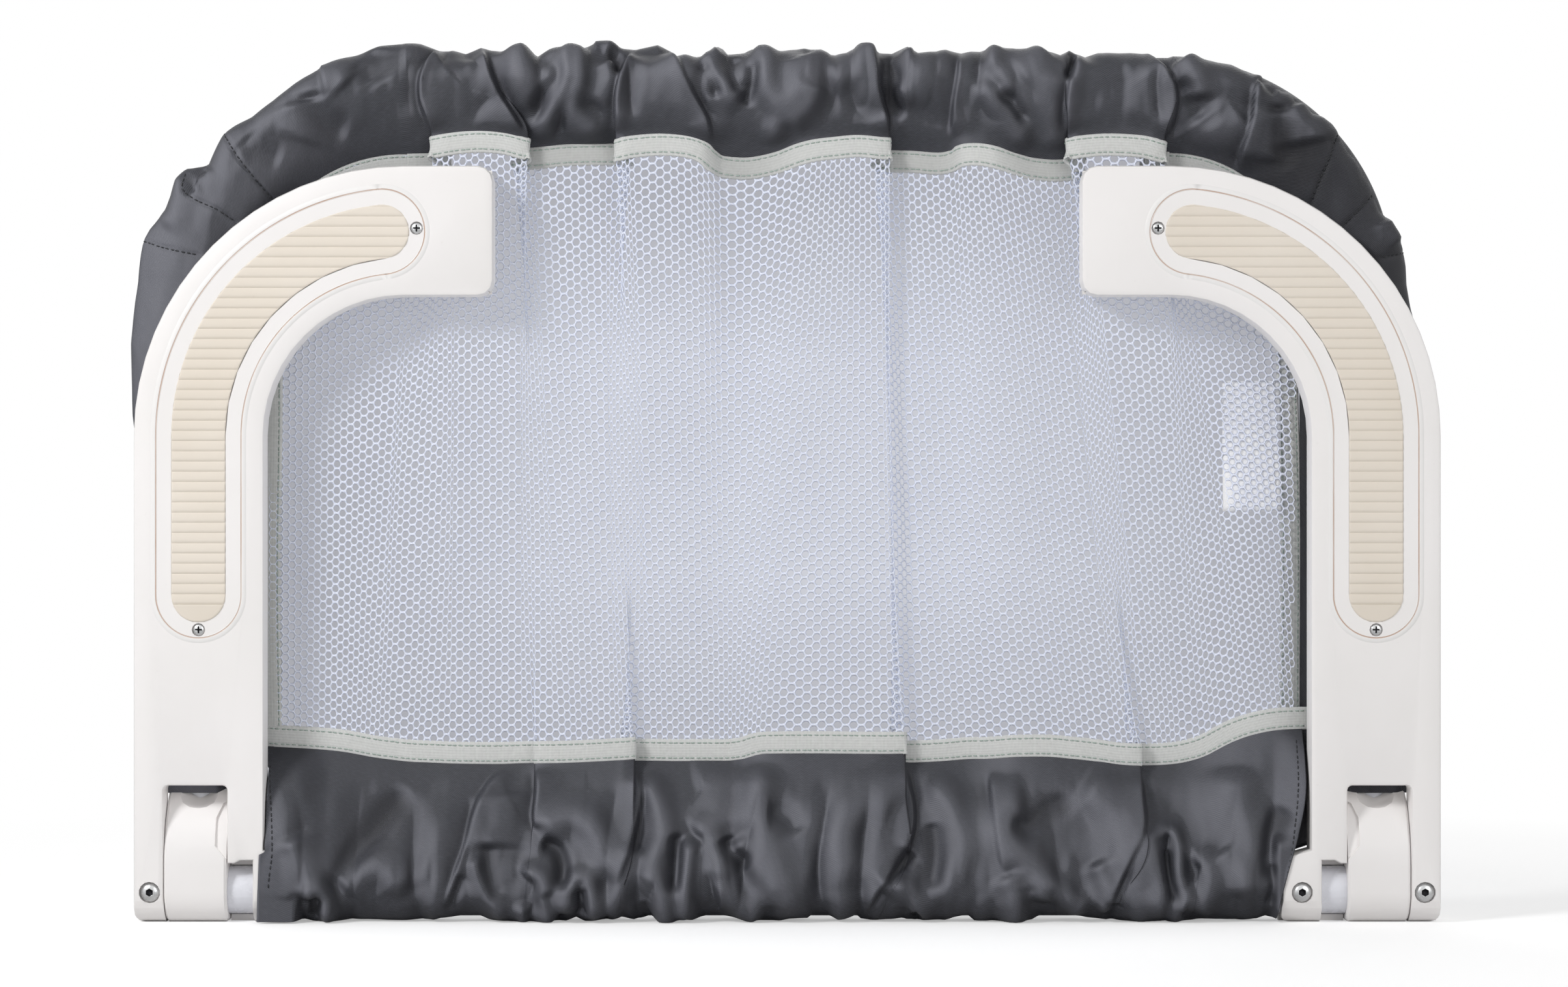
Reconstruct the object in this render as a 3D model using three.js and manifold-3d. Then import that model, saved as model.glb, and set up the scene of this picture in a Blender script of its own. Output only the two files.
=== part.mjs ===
// Folding bed guard rail, packed: the under-mattress legs are folded up against the fabric panel.
// Millimetres, +Z up. X runs along the rail, -Y is the side the legs fold to, Z = 0 is the floor.
// Shapes are made for the right-hand end, whose x is positive, and mirrored for the left-hand end.
import * as THREE from 'three';
import { mergeVertices } from 'three/addons/utils/BufferGeometryUtils.js';
import Module from 'manifold-3d';

const wasm = await Module();
wasm.setup();

const QUARTER = Math.PI / 2;
const HALF = Math.PI;
const FULL = 2 * Math.PI;

// Driving sizes of the packed rail
const legOuter = 336.5;        // from the middle of the rail to a leg's outer edge
const legTop = 390;            // top of the folded leg's arm
const legWidth = 67;
const legDepth = 16.8;
const bendOuterRadius = 139;
const armReach = 185;          // from the leg's outer edge to the arm's tip
const hingeHeight = 16;        // hinge axis above the floor
const topTubeHeight = 437;     // axis of the top tube
const topTubeRadius = 11;
const bottomTubeRadius = 12.5;
const tubeWall = 1.2;
const uprightSetback = 14;     // upright tube's axis behind the hinge axis
const tubeBendRadius = 105;
const topHemDrop = 28.5;       // hem of the top sleeve below the top tube's axis
const bottomHemRise = 68;      // hem of the bottom sleeve above the hinge axis
const depthCentre = 6.2;       // middle of the rail's depth behind the hinge axis

// Clearances
const fitGap = 0.3;            // between pieces that touch
const swingGap = 0.4;          // each side of the knuckle in the leg's fork
const overrun = 4;             // how far a cutting tool runs past the face it cuts

// Leg arm
const legEdgeRound = 2;
const armCornerRadius = 8;
const footCorner = 4.4;
const baseWidth = 81.7;        // the foot of the leg, across both hinge lugs
const flareTop = 38;
const flareStart = 34;
const cutoutInset = 15.3;      // width of the outer hinge lug
const cutoutWidth = 32.8;
const cutoutTop = 71;
const cutoutCorner = 2.5;
const windowWidth = 13.1;
const windowTop = 32.5;
const toothWidth = 6.5;
const toothFlat = 3.5;
const toothDrop = 1.6;
const barrelRadius = 16.8;
const lugEndWall = 2.5;
const legWall = 2.4;
const legWeb = 2.2;            // wall left behind the pad plate
const ribThickness = 1.8;
const coverSeat = 4;           // ledge under the back cover's lower end
const coverLip = 1.2;
const coverThickness = 2;
const legBridge = 8;           // solid wall above the knuckle's cut-out

// Pad plate, grip pad and their screws
const plateWidth = 45;
const plateThickness = 3;
const plateEdgeRound = 0.5;
const padWidth = 27.4;
const padSeatDepth = 1.6;
const padProud = 1;
const padDrop = 82;            // lower end of the pad below the centre of the bend
const ribPitch = 5;
const ribDepth = 1.1;
const ribSlope = 0.8;          // share of the pitch over which a rib falls away
const padScrewReach = 17.8;    // screw beyond the centre of the pad's round end
const padScrewHead = 6.3;
const padScrewHeadHeight = 1.5;
const padScrewShank = 3;
const padScrewLength = 9;
const bossRadius = 3.6;

// Hinge bolts and nuts
const boltInset = 8.2;         // outer bolt in from the leg's outer edge
const boltHead = 10.5;
const boltHeadHeight = 3.2;
const boltSeatDepth = 3.4;
const boltShank = 6;
const boltSocket = 4;
const boltSocketDepth = 2;
const nutWidth = 10;
const nutHeight = 4.5;
const nutSeatDepth = 1.4;

// Knuckle
const knuckleTop = 68;
const knuckleTopSetback = 3;   // front edge of its top behind the hinge axis
const knuckleBulgeStart = 30;  // height where its front starts to lean back
const footReach = 22;          // flat foot behind the hinge axis
const knuckleWall = 2.6;
const knuckleRound = 1.2;
const footRound = 6;
const scoopRadius = 15;
const scoopRise = 11;          // scoop's centre above the knuckle's front top edge
const reliefWidth = 6;
const reliefDepth = 1.8;
const reliefBottom = 33;
const reliefSlope = 7;
const socketFloor = 3;         // wall between the bottom tube's bore and the upright's end
const socketScrewHeight = 50;
const socketScrewHead = 7;
const socketScrewHeadHeight = 2;
const socketScrewShank = 3.5;
const socketScrewLength = 12;

// Telescope
const tubeJoinInset = 79.8;    // from the top tube's bend in to where the packed outer tubes meet
const innerTubeInset = 9.8;    // from the left-hand bend in to the inner tubes' far end
const innerTubeGrip = 68;      // inner tube's length inside the right-hand outer tube
const telescopePlay = 1.3;     // between inner and outer tube, filled by a plastic bush
const bushFlange = 2.4;
const bushSpigot = 22;
const plugFlange = 3;
const plugSpigot = 16;
const pinRadius = 2.4;
const pinInset = 40;           // from the join to the pin

// Fabric cover
const clothThickness = 1;
const clothEase = 0.4;         // between a tube and the sleeve round it
const panelBack = 12.5;        // mesh panel behind the hinge axis between the folds
const foldDepth = 9.5;         // how far a fold stands forward
const foldEdge = 15;           // width over which a fold rises
const meshThickness = 0.8;
const netOpeningsAcross = 11;  // the net's fine holes stand as a plain grid this coarse
const netOpeningsUp = 6;
const netBarShare = 0.28;      // a bar of that grid as a share of its pitch
const bindingWidth = 12;
const bindingThickness = 1.8;
const sideHemInset = 34.3;     // hem of the side sleeves in from the upright's axis
const sleeveSideReach = 36;    // side sleeve's loose cloth outside the upright
const sleeveSplitInset = 12.8; // from the top tube's bend in to the corner sleeves' seam
const cornerPuff = 1.8;
const cornerWaves = 4;
const gatherPuff = 4;
const topPuff = 7;
const scallopPuff = 0.8;
const bottomBulge = 12;
const bottomFootGap = 2.2;     // bottom sleeve's end beside the leg's flared foot
const bottomHemInset = 3.5;    // bottom sleeve's hem in from the leg's inner edge
const labelWidth = 29;
const labelHeight = 68;
const labelBottom = 212;
const labelThickness = 0.5;

// Folds of the cover as shares of the upright's distance from the middle: where each starts and ends
const topFoldShares = [[-0.6, -0.435], [-0.29, -0.125], [-0.005, 0.18], [0.29, 0.378], [0.471, 0.636]];
const bottomFoldShares = [[-0.416, -0.264], [-0.06, 0.2], [0.378, 0.597]];
const pleatsAcross = 11;
const sleeveSteps = 10;         // sides of a sleeve's section

// Places worked out from the sizes above
const legInner = legOuter - legWidth;
const bendInnerRadius = bendOuterRadius - legWidth;
const bendMeanRadius = bendOuterRadius - legWidth / 2;
const bendX = legOuter - bendOuterRadius;
const bendZ = legTop - bendOuterRadius;
const armTip = legOuter - armReach;
const armUnder = legTop - legWidth;
const baseInner = legOuter - baseWidth;
const cutoutOuter = legOuter - cutoutInset;
const cutoutInner = cutoutOuter - cutoutWidth;
const windowInner = cutoutInner - windowWidth;
const knuckleX = (cutoutOuter + cutoutInner) / 2;
const knuckleHalf = cutoutWidth / 2 - swingGap;
const coverFloor = cutoutTop + legBridge / 2;
const pocketFloor = coverFloor + coverSeat;
const uprightX = knuckleX;
const tubeBendX = uprightX - tubeBendRadius;
const tubeBendZ = topTubeHeight - tubeBendRadius;
const tubeJoin = tubeBendX - tubeJoinInset;
const innerTubeEnd = tubeBendX - innerTubeInset;
const coverTopHeight = topTubeHeight - topHemDrop;
const coverBottomHeight = hingeHeight + bottomHemRise;
const sideHem = uprightX - sideHemInset;
const sleeveSplit = tubeBendX - sleeveSplitInset;
const bottomSleeveFoot = baseInner - bottomFootGap;
const bottomSleeveHem = legInner - bottomHemInset;
const sleeveSideBottom = knuckleTop + fitGap;
const uprightFoot = hingeHeight + bottomTubeRadius + fitGap + socketFloor;
const outerBoltX = legOuter - boltInset;
const innerBoltX = (baseInner + windowInner) / 2;
const topInnerRadius = topTubeRadius - tubeWall - telescopePlay;
const bottomInnerRadius = bottomTubeRadius - tubeWall - telescopePlay;
const bottomTubeEnd = legOuter - lugEndWall - fitGap;
const padStartAngle = THREE.MathUtils.degToRad(84);

const materials = {
  cream: { color: 0xeeebe7, roughness: 0.42, metalness: 0 },
  pad: { color: 0xece0cb, roughness: 0.75, metalness: 0 },
  tube: { color: 0xe4e4ee, roughness: 0.3, metalness: 0.1 },
  innerTube: { color: 0xb8bbc0, roughness: 0.35, metalness: 0.8 },
  zinc: { color: 0xc9cbcd, roughness: 0.28, metalness: 0.9 },
  bush: { color: 0xd9d9d6, roughness: 0.5, metalness: 0 },
  twill: { color: 0x4b4c50, roughness: 0.55, metalness: 0 },
  binding: { color: 0xbec2be, roughness: 0.8, metalness: 0 },
  mesh: { color: 0xe1e4f5, roughness: 0.8, metalness: 0 },
  label: { color: 0xf4f4f8, roughness: 0.7, metalness: 0 },
};

// A manifold solid from a three.js geometry.
function solidOf(geometry) {
  const bare = new THREE.BufferGeometry();
  const flat = geometry.index ? geometry.toNonIndexed() : geometry;
  bare.setAttribute('position', flat.getAttribute('position'));
  const merged = mergeVertices(bare);
  return new wasm.Manifold(new wasm.Mesh({
    numProp: 3,
    vertProperties: merged.getAttribute('position').array,
    triVerts: new Uint32Array(merged.index.array),
  }));
}

// A three.js geometry from a manifold solid.
function geometryOf(solid) {
  const mesh = solid.getMesh();
  const geometry = new THREE.BufferGeometry();
  geometry.setAttribute('position', new THREE.BufferAttribute(mesh.vertProperties, 3));
  geometry.setIndex(new THREE.BufferAttribute(mesh.triVerts, 1));
  geometry.computeVertexNormals();
  return geometry;
}

// Adds an arc's points to an outline.
function arc(points, x, z, radius, from, to, steps) {
  for (let i = 0; i <= steps; i += 1) {
    const angle = from + (to - from) * i / steps;
    points.push(new THREE.Vector2(x + radius * Math.cos(angle), z + radius * Math.sin(angle)));
  }
}

function corner(points, x, z) {
  points.push(new THREE.Vector2(x, z));
}

// Extrudes an outline drawn in x and z from its front plane to its back plane.
function acrossDepth(points, front, back, round = 0, roundSteps = 1) {
  const geometry = new THREE.ExtrudeGeometry(new THREE.Shape(points), {
    depth: back - front - 2 * round,
    bevelEnabled: round > 0,
    bevelThickness: round,
    bevelSize: round,
    bevelOffset: -round,
    bevelSegments: roundSteps,
  });
  geometry.rotateX(QUARTER);
  geometry.translate(0, back - round, 0);
  return solidOf(geometry);
}

// Extrudes a profile drawn in y and z along x.
function acrossWidth(points, from, to, round = 0) {
  const geometry = new THREE.ExtrudeGeometry(new THREE.Shape(points), {
    depth: to - from - 2 * round,
    bevelEnabled: round > 0,
    bevelThickness: round,
    bevelSize: round,
    bevelOffset: -round,
    bevelSegments: 1,
  });
  geometry.rotateX(QUARTER);
  geometry.rotateZ(QUARTER);
  geometry.translate(from + round, 0, 0);
  return solidOf(geometry);
}

function block(x0, x1, y0, y1, z0, z1) {
  const geometry = new THREE.BoxGeometry(x1 - x0, y1 - y0, z1 - z0);
  geometry.translate((x0 + x1) / 2, (y0 + y1) / 2, (z0 + z1) / 2);
  return solidOf(geometry);
}

function rodAlongX(radius, from, to, y, z, sides) {
  const geometry = new THREE.CylinderGeometry(radius, radius, to - from, sides);
  geometry.rotateZ(QUARTER);
  geometry.translate((from + to) / 2, y, z);
  return solidOf(geometry);
}

function rodAlongY(radius, from, to, x, z, sides) {
  const geometry = new THREE.CylinderGeometry(radius, radius, to - from, sides);
  geometry.translate(x, (from + to) / 2, z);
  return solidOf(geometry);
}

function rodAlongZ(radius, from, to, x, y, sides) {
  const geometry = new THREE.CylinderGeometry(radius, radius, to - from, sides);
  geometry.rotateX(QUARTER);
  geometry.translate(x, y, (from + to) / 2);
  return solidOf(geometry);
}

// The leg's outline: the fork's cut-out and the tube window are open to the floor.
function legOutline() {
  const points = [];
  arc(points, legOuter - footCorner, footCorner, footCorner, -QUARTER, 0, 3);
  arc(points, bendX, bendZ, bendOuterRadius, 0, QUARTER, 16);
  arc(points, armTip + armCornerRadius, legTop - armCornerRadius, armCornerRadius, QUARTER, HALF, 3);
  arc(points, armTip + armCornerRadius, armUnder + armCornerRadius, armCornerRadius, HALF, 3 * QUARTER, 3);
  arc(points, bendX, bendZ, bendInnerRadius, QUARTER, 0, 12);
  corner(points, legInner, flareTop);
  corner(points, baseInner, flareStart);
  arc(points, baseInner + footCorner, footCorner, footCorner, HALF, 3 * QUARTER, 3);
  corner(points, windowInner, 0);
  corner(points, windowInner, windowTop);
  corner(points, cutoutInner - toothWidth, windowTop);
  corner(points, cutoutInner - toothFlat, windowTop - toothDrop);
  corner(points, cutoutInner, windowTop - toothDrop);
  arc(points, cutoutInner + cutoutCorner, cutoutTop - cutoutCorner, cutoutCorner, HALF, QUARTER, 3);
  arc(points, cutoutOuter - cutoutCorner, cutoutTop - cutoutCorner, cutoutCorner, QUARTER, 0, 3);
  corner(points, cutoutOuter, 0);
  return points;
}

// The part of the leg above the fork, drawn in from the leg's edge by inset.
function bandOutline(inset, floor) {
  const points = [];
  corner(points, legOuter - inset, floor);
  arc(points, bendX, bendZ, bendOuterRadius - inset, 0, QUARTER, 12);
  corner(points, armTip + inset, legTop - inset);
  corner(points, armTip + inset, armUnder + inset);
  arc(points, bendX, bendZ, bendInnerRadius + inset, QUARTER, 0, 8);
  corner(points, legInner + inset, floor);
  return points;
}

// Centre of the pad's upper round end.
const padTopX = bendX + bendMeanRadius * Math.cos(padStartAngle);
const padTopZ = bendZ + bendMeanRadius * Math.sin(padStartAngle);
const padBottomX = legOuter - legWidth / 2;
const padBottomZ = bendZ - padDrop;

// A round-ended band along the middle of the leg.
function padOutline(width) {
  const half = width / 2;
  const points = [];
  arc(points, padBottomX, padBottomZ, half, -HALF, 0, 7);
  arc(points, bendX, bendZ, bendMeanRadius + half, 0, padStartAngle, 11);
  arc(points, padTopX, padTopZ, half, padStartAngle, padStartAngle + HALF, 7);
  arc(points, bendX, bendZ, bendMeanRadius - half, padStartAngle, 0, 8);
  return points;
}

// Places of the two screws that hold the pad plate.
const padScrews = [
  [padTopX - padScrewReach * Math.sin(padStartAngle), padTopZ + padScrewReach * Math.cos(padStartAngle)],
  [padBottomX, padBottomZ - padScrewReach],
];

// The hollow behind the leg's face, less its stiffening ribs and screw bosses.
function legPocket() {
  const front = -legDepth + plateThickness + fitGap + legWeb;
  let pocket = acrossDepth(bandOutline(legWall, pocketFloor), front, overrun);
  const back = -coverThickness - fitGap;
  const straightRibs = 4;
  for (let i = 1; i <= straightRibs; i += 1) {
    const z = pocketFloor + (bendZ - pocketFloor) * i / (straightRibs + 1);
    const rib = block(legInner, legOuter, front - overrun, back, z - ribThickness / 2, z + ribThickness / 2);
    pocket = pocket.subtract(rib);
  }
  const bendRibs = 5;
  for (let i = 0; i < bendRibs; i += 1) {
    const geometry = new THREE.BoxGeometry(legWidth, back - front + overrun, ribThickness);
    geometry.translate(bendMeanRadius, (back + front - overrun) / 2, 0);
    geometry.rotateY(-QUARTER * i / (bendRibs - 1));
    geometry.translate(bendX, 0, bendZ);
    pocket = pocket.subtract(solidOf(geometry));
  }
  for (const [x, z] of padScrews) {
    pocket = pocket.subtract(rodAlongY(bossRadius, front - overrun, back, x, z, 8));
  }
  return pocket;
}

// The hinge lugs' round rear half, which the bottom tube passes through.
function lugBarrels() {
  const outer = rodAlongX(barrelRadius, cutoutOuter, legOuter, 0, hingeHeight, 24);
  const inner = rodAlongX(barrelRadius, baseInner, cutoutInner, 0, hingeHeight, 24);
  const front = block(baseInner - overrun, legOuter + overrun, -barrelRadius - overrun, 0,
    -overrun, hingeHeight + barrelRadius + overrun);
  const floor = block(baseInner - overrun, legOuter + overrun, -barrelRadius, barrelRadius + overrun,
    -overrun, 0);
  return outer.add(inner).subtract(front).subtract(floor);
}

// What lies outside the barrel's curve at the foot's lower front edge.
function footNose(from, to) {
  const cut = block(from, to, -barrelRadius - overrun, 0, -overrun, hingeHeight);
  return cut.subtract(rodAlongX(barrelRadius, from - overrun, to + overrun, 0, hingeHeight, 24));
}

function boltHoles() {
  let holes = null;
  for (const x of [outerBoltX, innerBoltX]) {
    const shank = rodAlongY(boltShank / 2 + fitGap, -legDepth - overrun, barrelRadius + overrun, x, hingeHeight, 8);
    const seat = rodAlongY(boltHead / 2 + fitGap, -legDepth - overrun, -legDepth + boltSeatDepth, x, hingeHeight, 14);
    const nutRadius = (nutWidth / 2 + fitGap) / Math.cos(HALF / 6);
    const nutSeat = rodAlongY(nutRadius, barrelRadius - nutSeatDepth, barrelRadius + overrun, x, hingeHeight, 6);
    const hole = shank.add(seat).add(nutSeat);
    holes = holes ? holes.add(hole) : hole;
  }
  return holes;
}

// The curved leg that goes under the mattress, moulded hollow with ribs and a forked hinge foot.
function legArm() {
  const deep = acrossDepth(legOutline(), -legDepth, legEdgeRound + overrun, legEdgeRound, 2);
  const behind = block(-overrun, legOuter + overrun, 0, 2 * legDepth, -overrun, legTop + overrun);
  let leg = deep.subtract(behind);
  leg = leg.subtract(footNose(baseInner - overrun, legOuter + overrun));
  leg = leg.add(lugBarrels());
  const tubeBore = rodAlongX(bottomTubeRadius + fitGap, baseInner - overrun, legOuter - lugEndWall,
    0, hingeHeight, 24);
  leg = leg.subtract(tubeBore).subtract(boltHoles()).subtract(legPocket());
  leg = leg.subtract(acrossDepth(bandOutline(coverLip, coverFloor), -coverThickness - fitGap, overrun));
  const plateSeat = acrossDepth(padOutline(plateWidth + 2 * fitGap), -legDepth - overrun,
    -legDepth + plateThickness + fitGap);
  leg = leg.subtract(plateSeat);
  for (const [x, z] of padScrews) {
    const depth = padScrewLength + fitGap;
    leg = leg.subtract(rodAlongY(padScrewShank / 2 + fitGap, -legDepth, -legDepth + depth, x, z, 8));
  }
  return leg;
}

function legBackCover() {
  return acrossDepth(bandOutline(coverLip + fitGap, coverFloor + fitGap), -coverThickness, 0);
}

function padPlate() {
  const back = -legDepth + plateThickness;
  let plate = acrossDepth(padOutline(plateWidth), -legDepth, back + overrun, plateEdgeRound);
  plate = plate.subtract(block(0, legOuter, back, back + 2 * overrun, 0, legTop));
  plate = plate.subtract(acrossDepth(padOutline(padWidth + 2 * fitGap), -legDepth - overrun,
    -legDepth + padSeatDepth));
  for (const [x, z] of padScrews) {
    const sink = -legDepth + padScrewHeadHeight + fitGap;
    plate = plate.subtract(rodAlongY(padScrewHead / 2 + fitGap, -legDepth - overrun, sink, x, z, 12));
    plate = plate.subtract(rodAlongY(padScrewShank / 2 + fitGap, -legDepth, back + overrun, x, z, 8));
  }
  return plate;
}

// Rubber strip with saw-tooth ribs across the leg.
function gripPad() {
  const crest = -legDepth - padProud;
  const back = -legDepth + padSeatDepth - fitGap;
  const band = acrossDepth(padOutline(padWidth), crest - overrun, back);
  const bottom = padBottomZ - padWidth;
  const ribs = Math.ceil((legTop - bottom) / ribPitch);
  const comb = [];
  corner(comb, back + overrun, bottom);
  for (let i = 0; i < ribs; i += 1) {
    const z = bottom + ribPitch * i;
    corner(comb, crest, z);
    corner(comb, crest + ribDepth, z + ribPitch * ribSlope);
  }
  corner(comb, back + overrun, bottom + ribPitch * ribs);
  comb.reverse();
  return band.intersect(acrossWidth(comb, bendX - legWidth, legOuter));
}

// A screw or bolt revolved about its own axis: head toward -Y at the origin, shank toward +Y.
function fastener(headWidth, headHeight, shankWidth, length, crown) {
  const profile = [
    new THREE.Vector2(0, 0),
    new THREE.Vector2(headWidth / 4, crown / 4),
    new THREE.Vector2(headWidth * 0.43, crown),
    new THREE.Vector2(headWidth / 2, headHeight * 0.6),
    new THREE.Vector2(headWidth / 2, headHeight),
    new THREE.Vector2(shankWidth / 2, headHeight),
    new THREE.Vector2(shankWidth / 2, length),
    new THREE.Vector2(0, length),
  ];
  const geometry = new THREE.LatheGeometry(profile, 10);
  return solidOf(geometry);
}

function padScrew() {
  const screw = fastener(padScrewHead, padScrewHeadHeight, padScrewShank, padScrewLength, padScrewHeadHeight / 4);
  const arm = padScrewHead * 0.3;
  const slot = padScrewShank / 6;
  const depth = padScrewHeadHeight * 0.6;
  const cross = block(-arm, arm, -depth, depth, -slot, slot).add(block(-slot, slot, -depth, depth, -arm, arm));
  return screw.subtract(cross);
}

function hingeBolt() {
  const length = legDepth - boltSeatDepth + boltHeadHeight + barrelRadius - nutSeatDepth + nutHeight;
  const bolt = fastener(boltHead, boltHeadHeight, boltShank, length, boltHeadHeight / 4);
  const socketRadius = boltSocket / 2 / Math.cos(HALF / 6);
  return bolt.subtract(rodAlongY(socketRadius, -overrun, boltSocketDepth, 0, 0, 6));
}

function hingeNut() {
  const outside = nutWidth / 2 / Math.cos(HALF / 6);
  const nut = rodAlongY(outside, 0, nutHeight, 0, 0, 6);
  return nut.subtract(rodAlongY(boltShank / 2 + fitGap, -overrun, nutHeight + overrun, 0, 0, 12));
}

// Side view of the knuckle in y and z; inset draws its front in for the relief.
function knuckleProfile(inset) {
  const points = [];
  const radius = barrelRadius - inset;
  const dip = Math.asin(Math.min(hingeHeight / radius, 1));
  const top = knuckleTop;
  const back = uprightSetback + topTubeRadius + fitGap + knuckleWall;
  arc(points, footReach, footRound, footRound, -QUARTER, -QUARTER / 2, 3);
  corner(points, back, hingeHeight + footRound);
  arc(points, back - footRound, top - footRound, footRound, 0, QUARTER, 4);
  const lean = knuckleTopSetback + inset + radius;
  const rise = top - knuckleBulgeStart;
  const bulge = (lean * lean + rise * rise) / (2 * lean);
  const sweep = Math.asin(rise / bulge);
  arc(points, bulge - radius, knuckleBulgeStart, bulge, HALF - sweep, HALF, 9);
  arc(points, 0, hingeHeight, radius, HALF, HALF + dip, 8);
  return points;
}

// Shallow step in the knuckle's inner front edge, seen from the front.
function reliefOutline() {
  const inner = knuckleX - knuckleHalf;
  const points = [];
  corner(points, inner - overrun, reliefBottom);
  corner(points, inner, reliefBottom);
  corner(points, inner + reliefWidth, reliefBottom + reliefSlope);
  corner(points, inner + reliefWidth, knuckleTop - 2 * reliefSlope);
  corner(points, inner + reliefWidth / 2, knuckleTop - reliefSlope);
  corner(points, inner - overrun, knuckleTop - reliefSlope / 2);
  return points;
}

// The hinge piece that turns on the bottom tube, fills the leg's fork and holds the upright.
function knuckle() {
  const from = knuckleX - knuckleHalf;
  const to = knuckleX + knuckleHalf;
  let body = acrossWidth(knuckleProfile(0), from, to, knuckleRound);
  const bore = rodAlongX(bottomTubeRadius + fitGap, from - overrun, to + overrun, 0, hingeHeight, 24);
  const socket = rodAlongZ(topTubeRadius + fitGap, uprightFoot - fitGap, knuckleTop + overrun,
    uprightX, uprightSetback, 16);
  const scoop = new THREE.SphereGeometry(scoopRadius, 16, 10);
  scoop.rotateX(QUARTER);
  scoop.translate(knuckleX, knuckleTopSetback - scoopRise, knuckleTop + scoopRise / 2);
  const core = acrossWidth(knuckleProfile(reliefDepth), from - overrun, to + overrun);
  const relief = acrossDepth(reliefOutline(), -barrelRadius - overrun, knuckleTopSetback).subtract(core);
  body = body.subtract(bore).subtract(socket).subtract(relief).subtract(solidOf(scoop));
  const back = uprightSetback + topTubeRadius + fitGap + knuckleWall;
  const screwHole = rodAlongY(socketScrewShank / 2 + fitGap, uprightSetback, back + overrun,
    knuckleX, socketScrewHeight, 12);
  const screwSeat = rodAlongY(socketScrewHead / 2 + fitGap, back - socketScrewHeadHeight / 2,
    back + overrun, knuckleX, socketScrewHeight, 16);
  return body.subtract(screwHole).subtract(screwSeat);
}

function socketScrew() {
  return fastener(socketScrewHead, socketScrewHeadHeight, socketScrewShank, socketScrewLength,
    socketScrewHeadHeight / 4);
}

// Stations along the corner tube: up the upright, round the bend and along the top.
class CornerPath extends THREE.Curve {
  constructor(end, bendSteps) {
    super();
    this.stations = [[new THREE.Vector3(uprightX, uprightSetback, uprightFoot), 0]];
    for (let i = 0; i <= bendSteps; i += 1) {
      const angle = QUARTER * i / bendSteps;
      const x = tubeBendX + tubeBendRadius * Math.cos(angle);
      const z = tubeBendZ + tubeBendRadius * Math.sin(angle);
      this.stations.push([new THREE.Vector3(x, uprightSetback, z), angle]);
    }
    this.stations.push([new THREE.Vector3(end, uprightSetback, topTubeHeight), QUARTER]);
  }

  station(t) {
    return this.stations[Math.round(t * (this.stations.length - 1))];
  }

  getPoint(t) {
    return this.station(t)[0].clone();
  }

  getPointAt(t) {
    return this.getPoint(t);
  }

  getTangentAt(t) {
    const angle = this.station(t)[1];
    return new THREE.Vector3(-Math.sin(angle), 0, Math.cos(angle));
  }
}

function ringShape(outer, inner, sides) {
  const rim = [];
  const hole = [];
  for (let i = 0; i < sides; i += 1) {
    const angle = FULL * i / sides;
    rim.push(new THREE.Vector2(outer * Math.cos(angle), outer * Math.sin(angle)));
    hole.push(new THREE.Vector2(inner * Math.cos(angle), inner * Math.sin(angle)));
  }
  const shape = new THREE.Shape(rim);
  shape.holes.push(new THREE.Path(hole));
  return shape;
}

// A corner tube: upright, bend and its run of the top rail, which ends at x = end.
function cornerTube(end) {
  const path = new CornerPath(end, 8);
  const shape = ringShape(topTubeRadius, topTubeRadius - tubeWall, 14);
  const geometry = new THREE.ExtrudeGeometry(shape, {
    steps: path.stations.length - 1,
    extrudePath: path,
    bevelEnabled: false,
  });
  const back = uprightSetback + topTubeRadius + overrun;
  const hole = rodAlongY(socketScrewShank / 2 + fitGap, uprightSetback, back, uprightX, socketScrewHeight, 8);
  return solidOf(geometry).subtract(hole);
}

function tubeAlongX(outer, inner, from, to, y, z, sides) {
  const geometry = new THREE.ExtrudeGeometry(ringShape(outer, inner, sides), {
    depth: to - from,
    bevelEnabled: false,
  });
  geometry.rotateX(QUARTER);
  geometry.rotateZ(QUARTER);
  geometry.translate(from, y, z);
  return solidOf(geometry);
}

// The hinge tube at one end, with a hole for each hinge bolt; x is positive at the right-hand end.
function bottomTube(end) {
  let tube = tubeAlongX(bottomTubeRadius, bottomTubeRadius - tubeWall, end, bottomTubeEnd, 0, hingeHeight, 24);
  for (const x of [outerBoltX, innerBoltX]) {
    tube = tube.subtract(rodAlongY(boltShank / 2 + fitGap, -legDepth, legDepth, x, hingeHeight, 8));
  }
  return tube;
}

// The sliding inner tube of the bottom rail, bolted in the right-hand hinge tube.
function bottomInnerTube() {
  const tube = tubeAlongX(bottomInnerRadius, bottomInnerRadius - tubeWall, -innerTubeEnd,
    innerBoltX + bottomInnerRadius, 0, hingeHeight, 16);
  return tube.subtract(rodAlongY(boltShank / 2 + fitGap, -legDepth, legDepth, innerBoltX, hingeHeight, 8));
}

// The sliding inner tube of the top rail, pinned in the right-hand corner tube.
function topInnerTube() {
  const tube = tubeAlongX(topInnerRadius, topInnerRadius - tubeWall, -innerTubeEnd, tubeJoin + innerTubeGrip,
    uprightSetback, topTubeHeight, 14);
  return tube.subtract(pinHole());
}

function pinHole() {
  return rodAlongY(pinRadius + fitGap, uprightSetback - 2 * topTubeRadius,
    uprightSetback + 2 * topTubeRadius, tubeJoin + pinInset, topTubeHeight, 8);
}

// Cross pin that fixes the sliding tube in the right-hand corner tube, flush with it under the sleeve.
function topPin() {
  return rodAlongY(pinRadius, uprightSetback - topTubeRadius, uprightSetback + topTubeRadius,
    tubeJoin + pinInset, topTubeHeight, 8);
}

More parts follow.
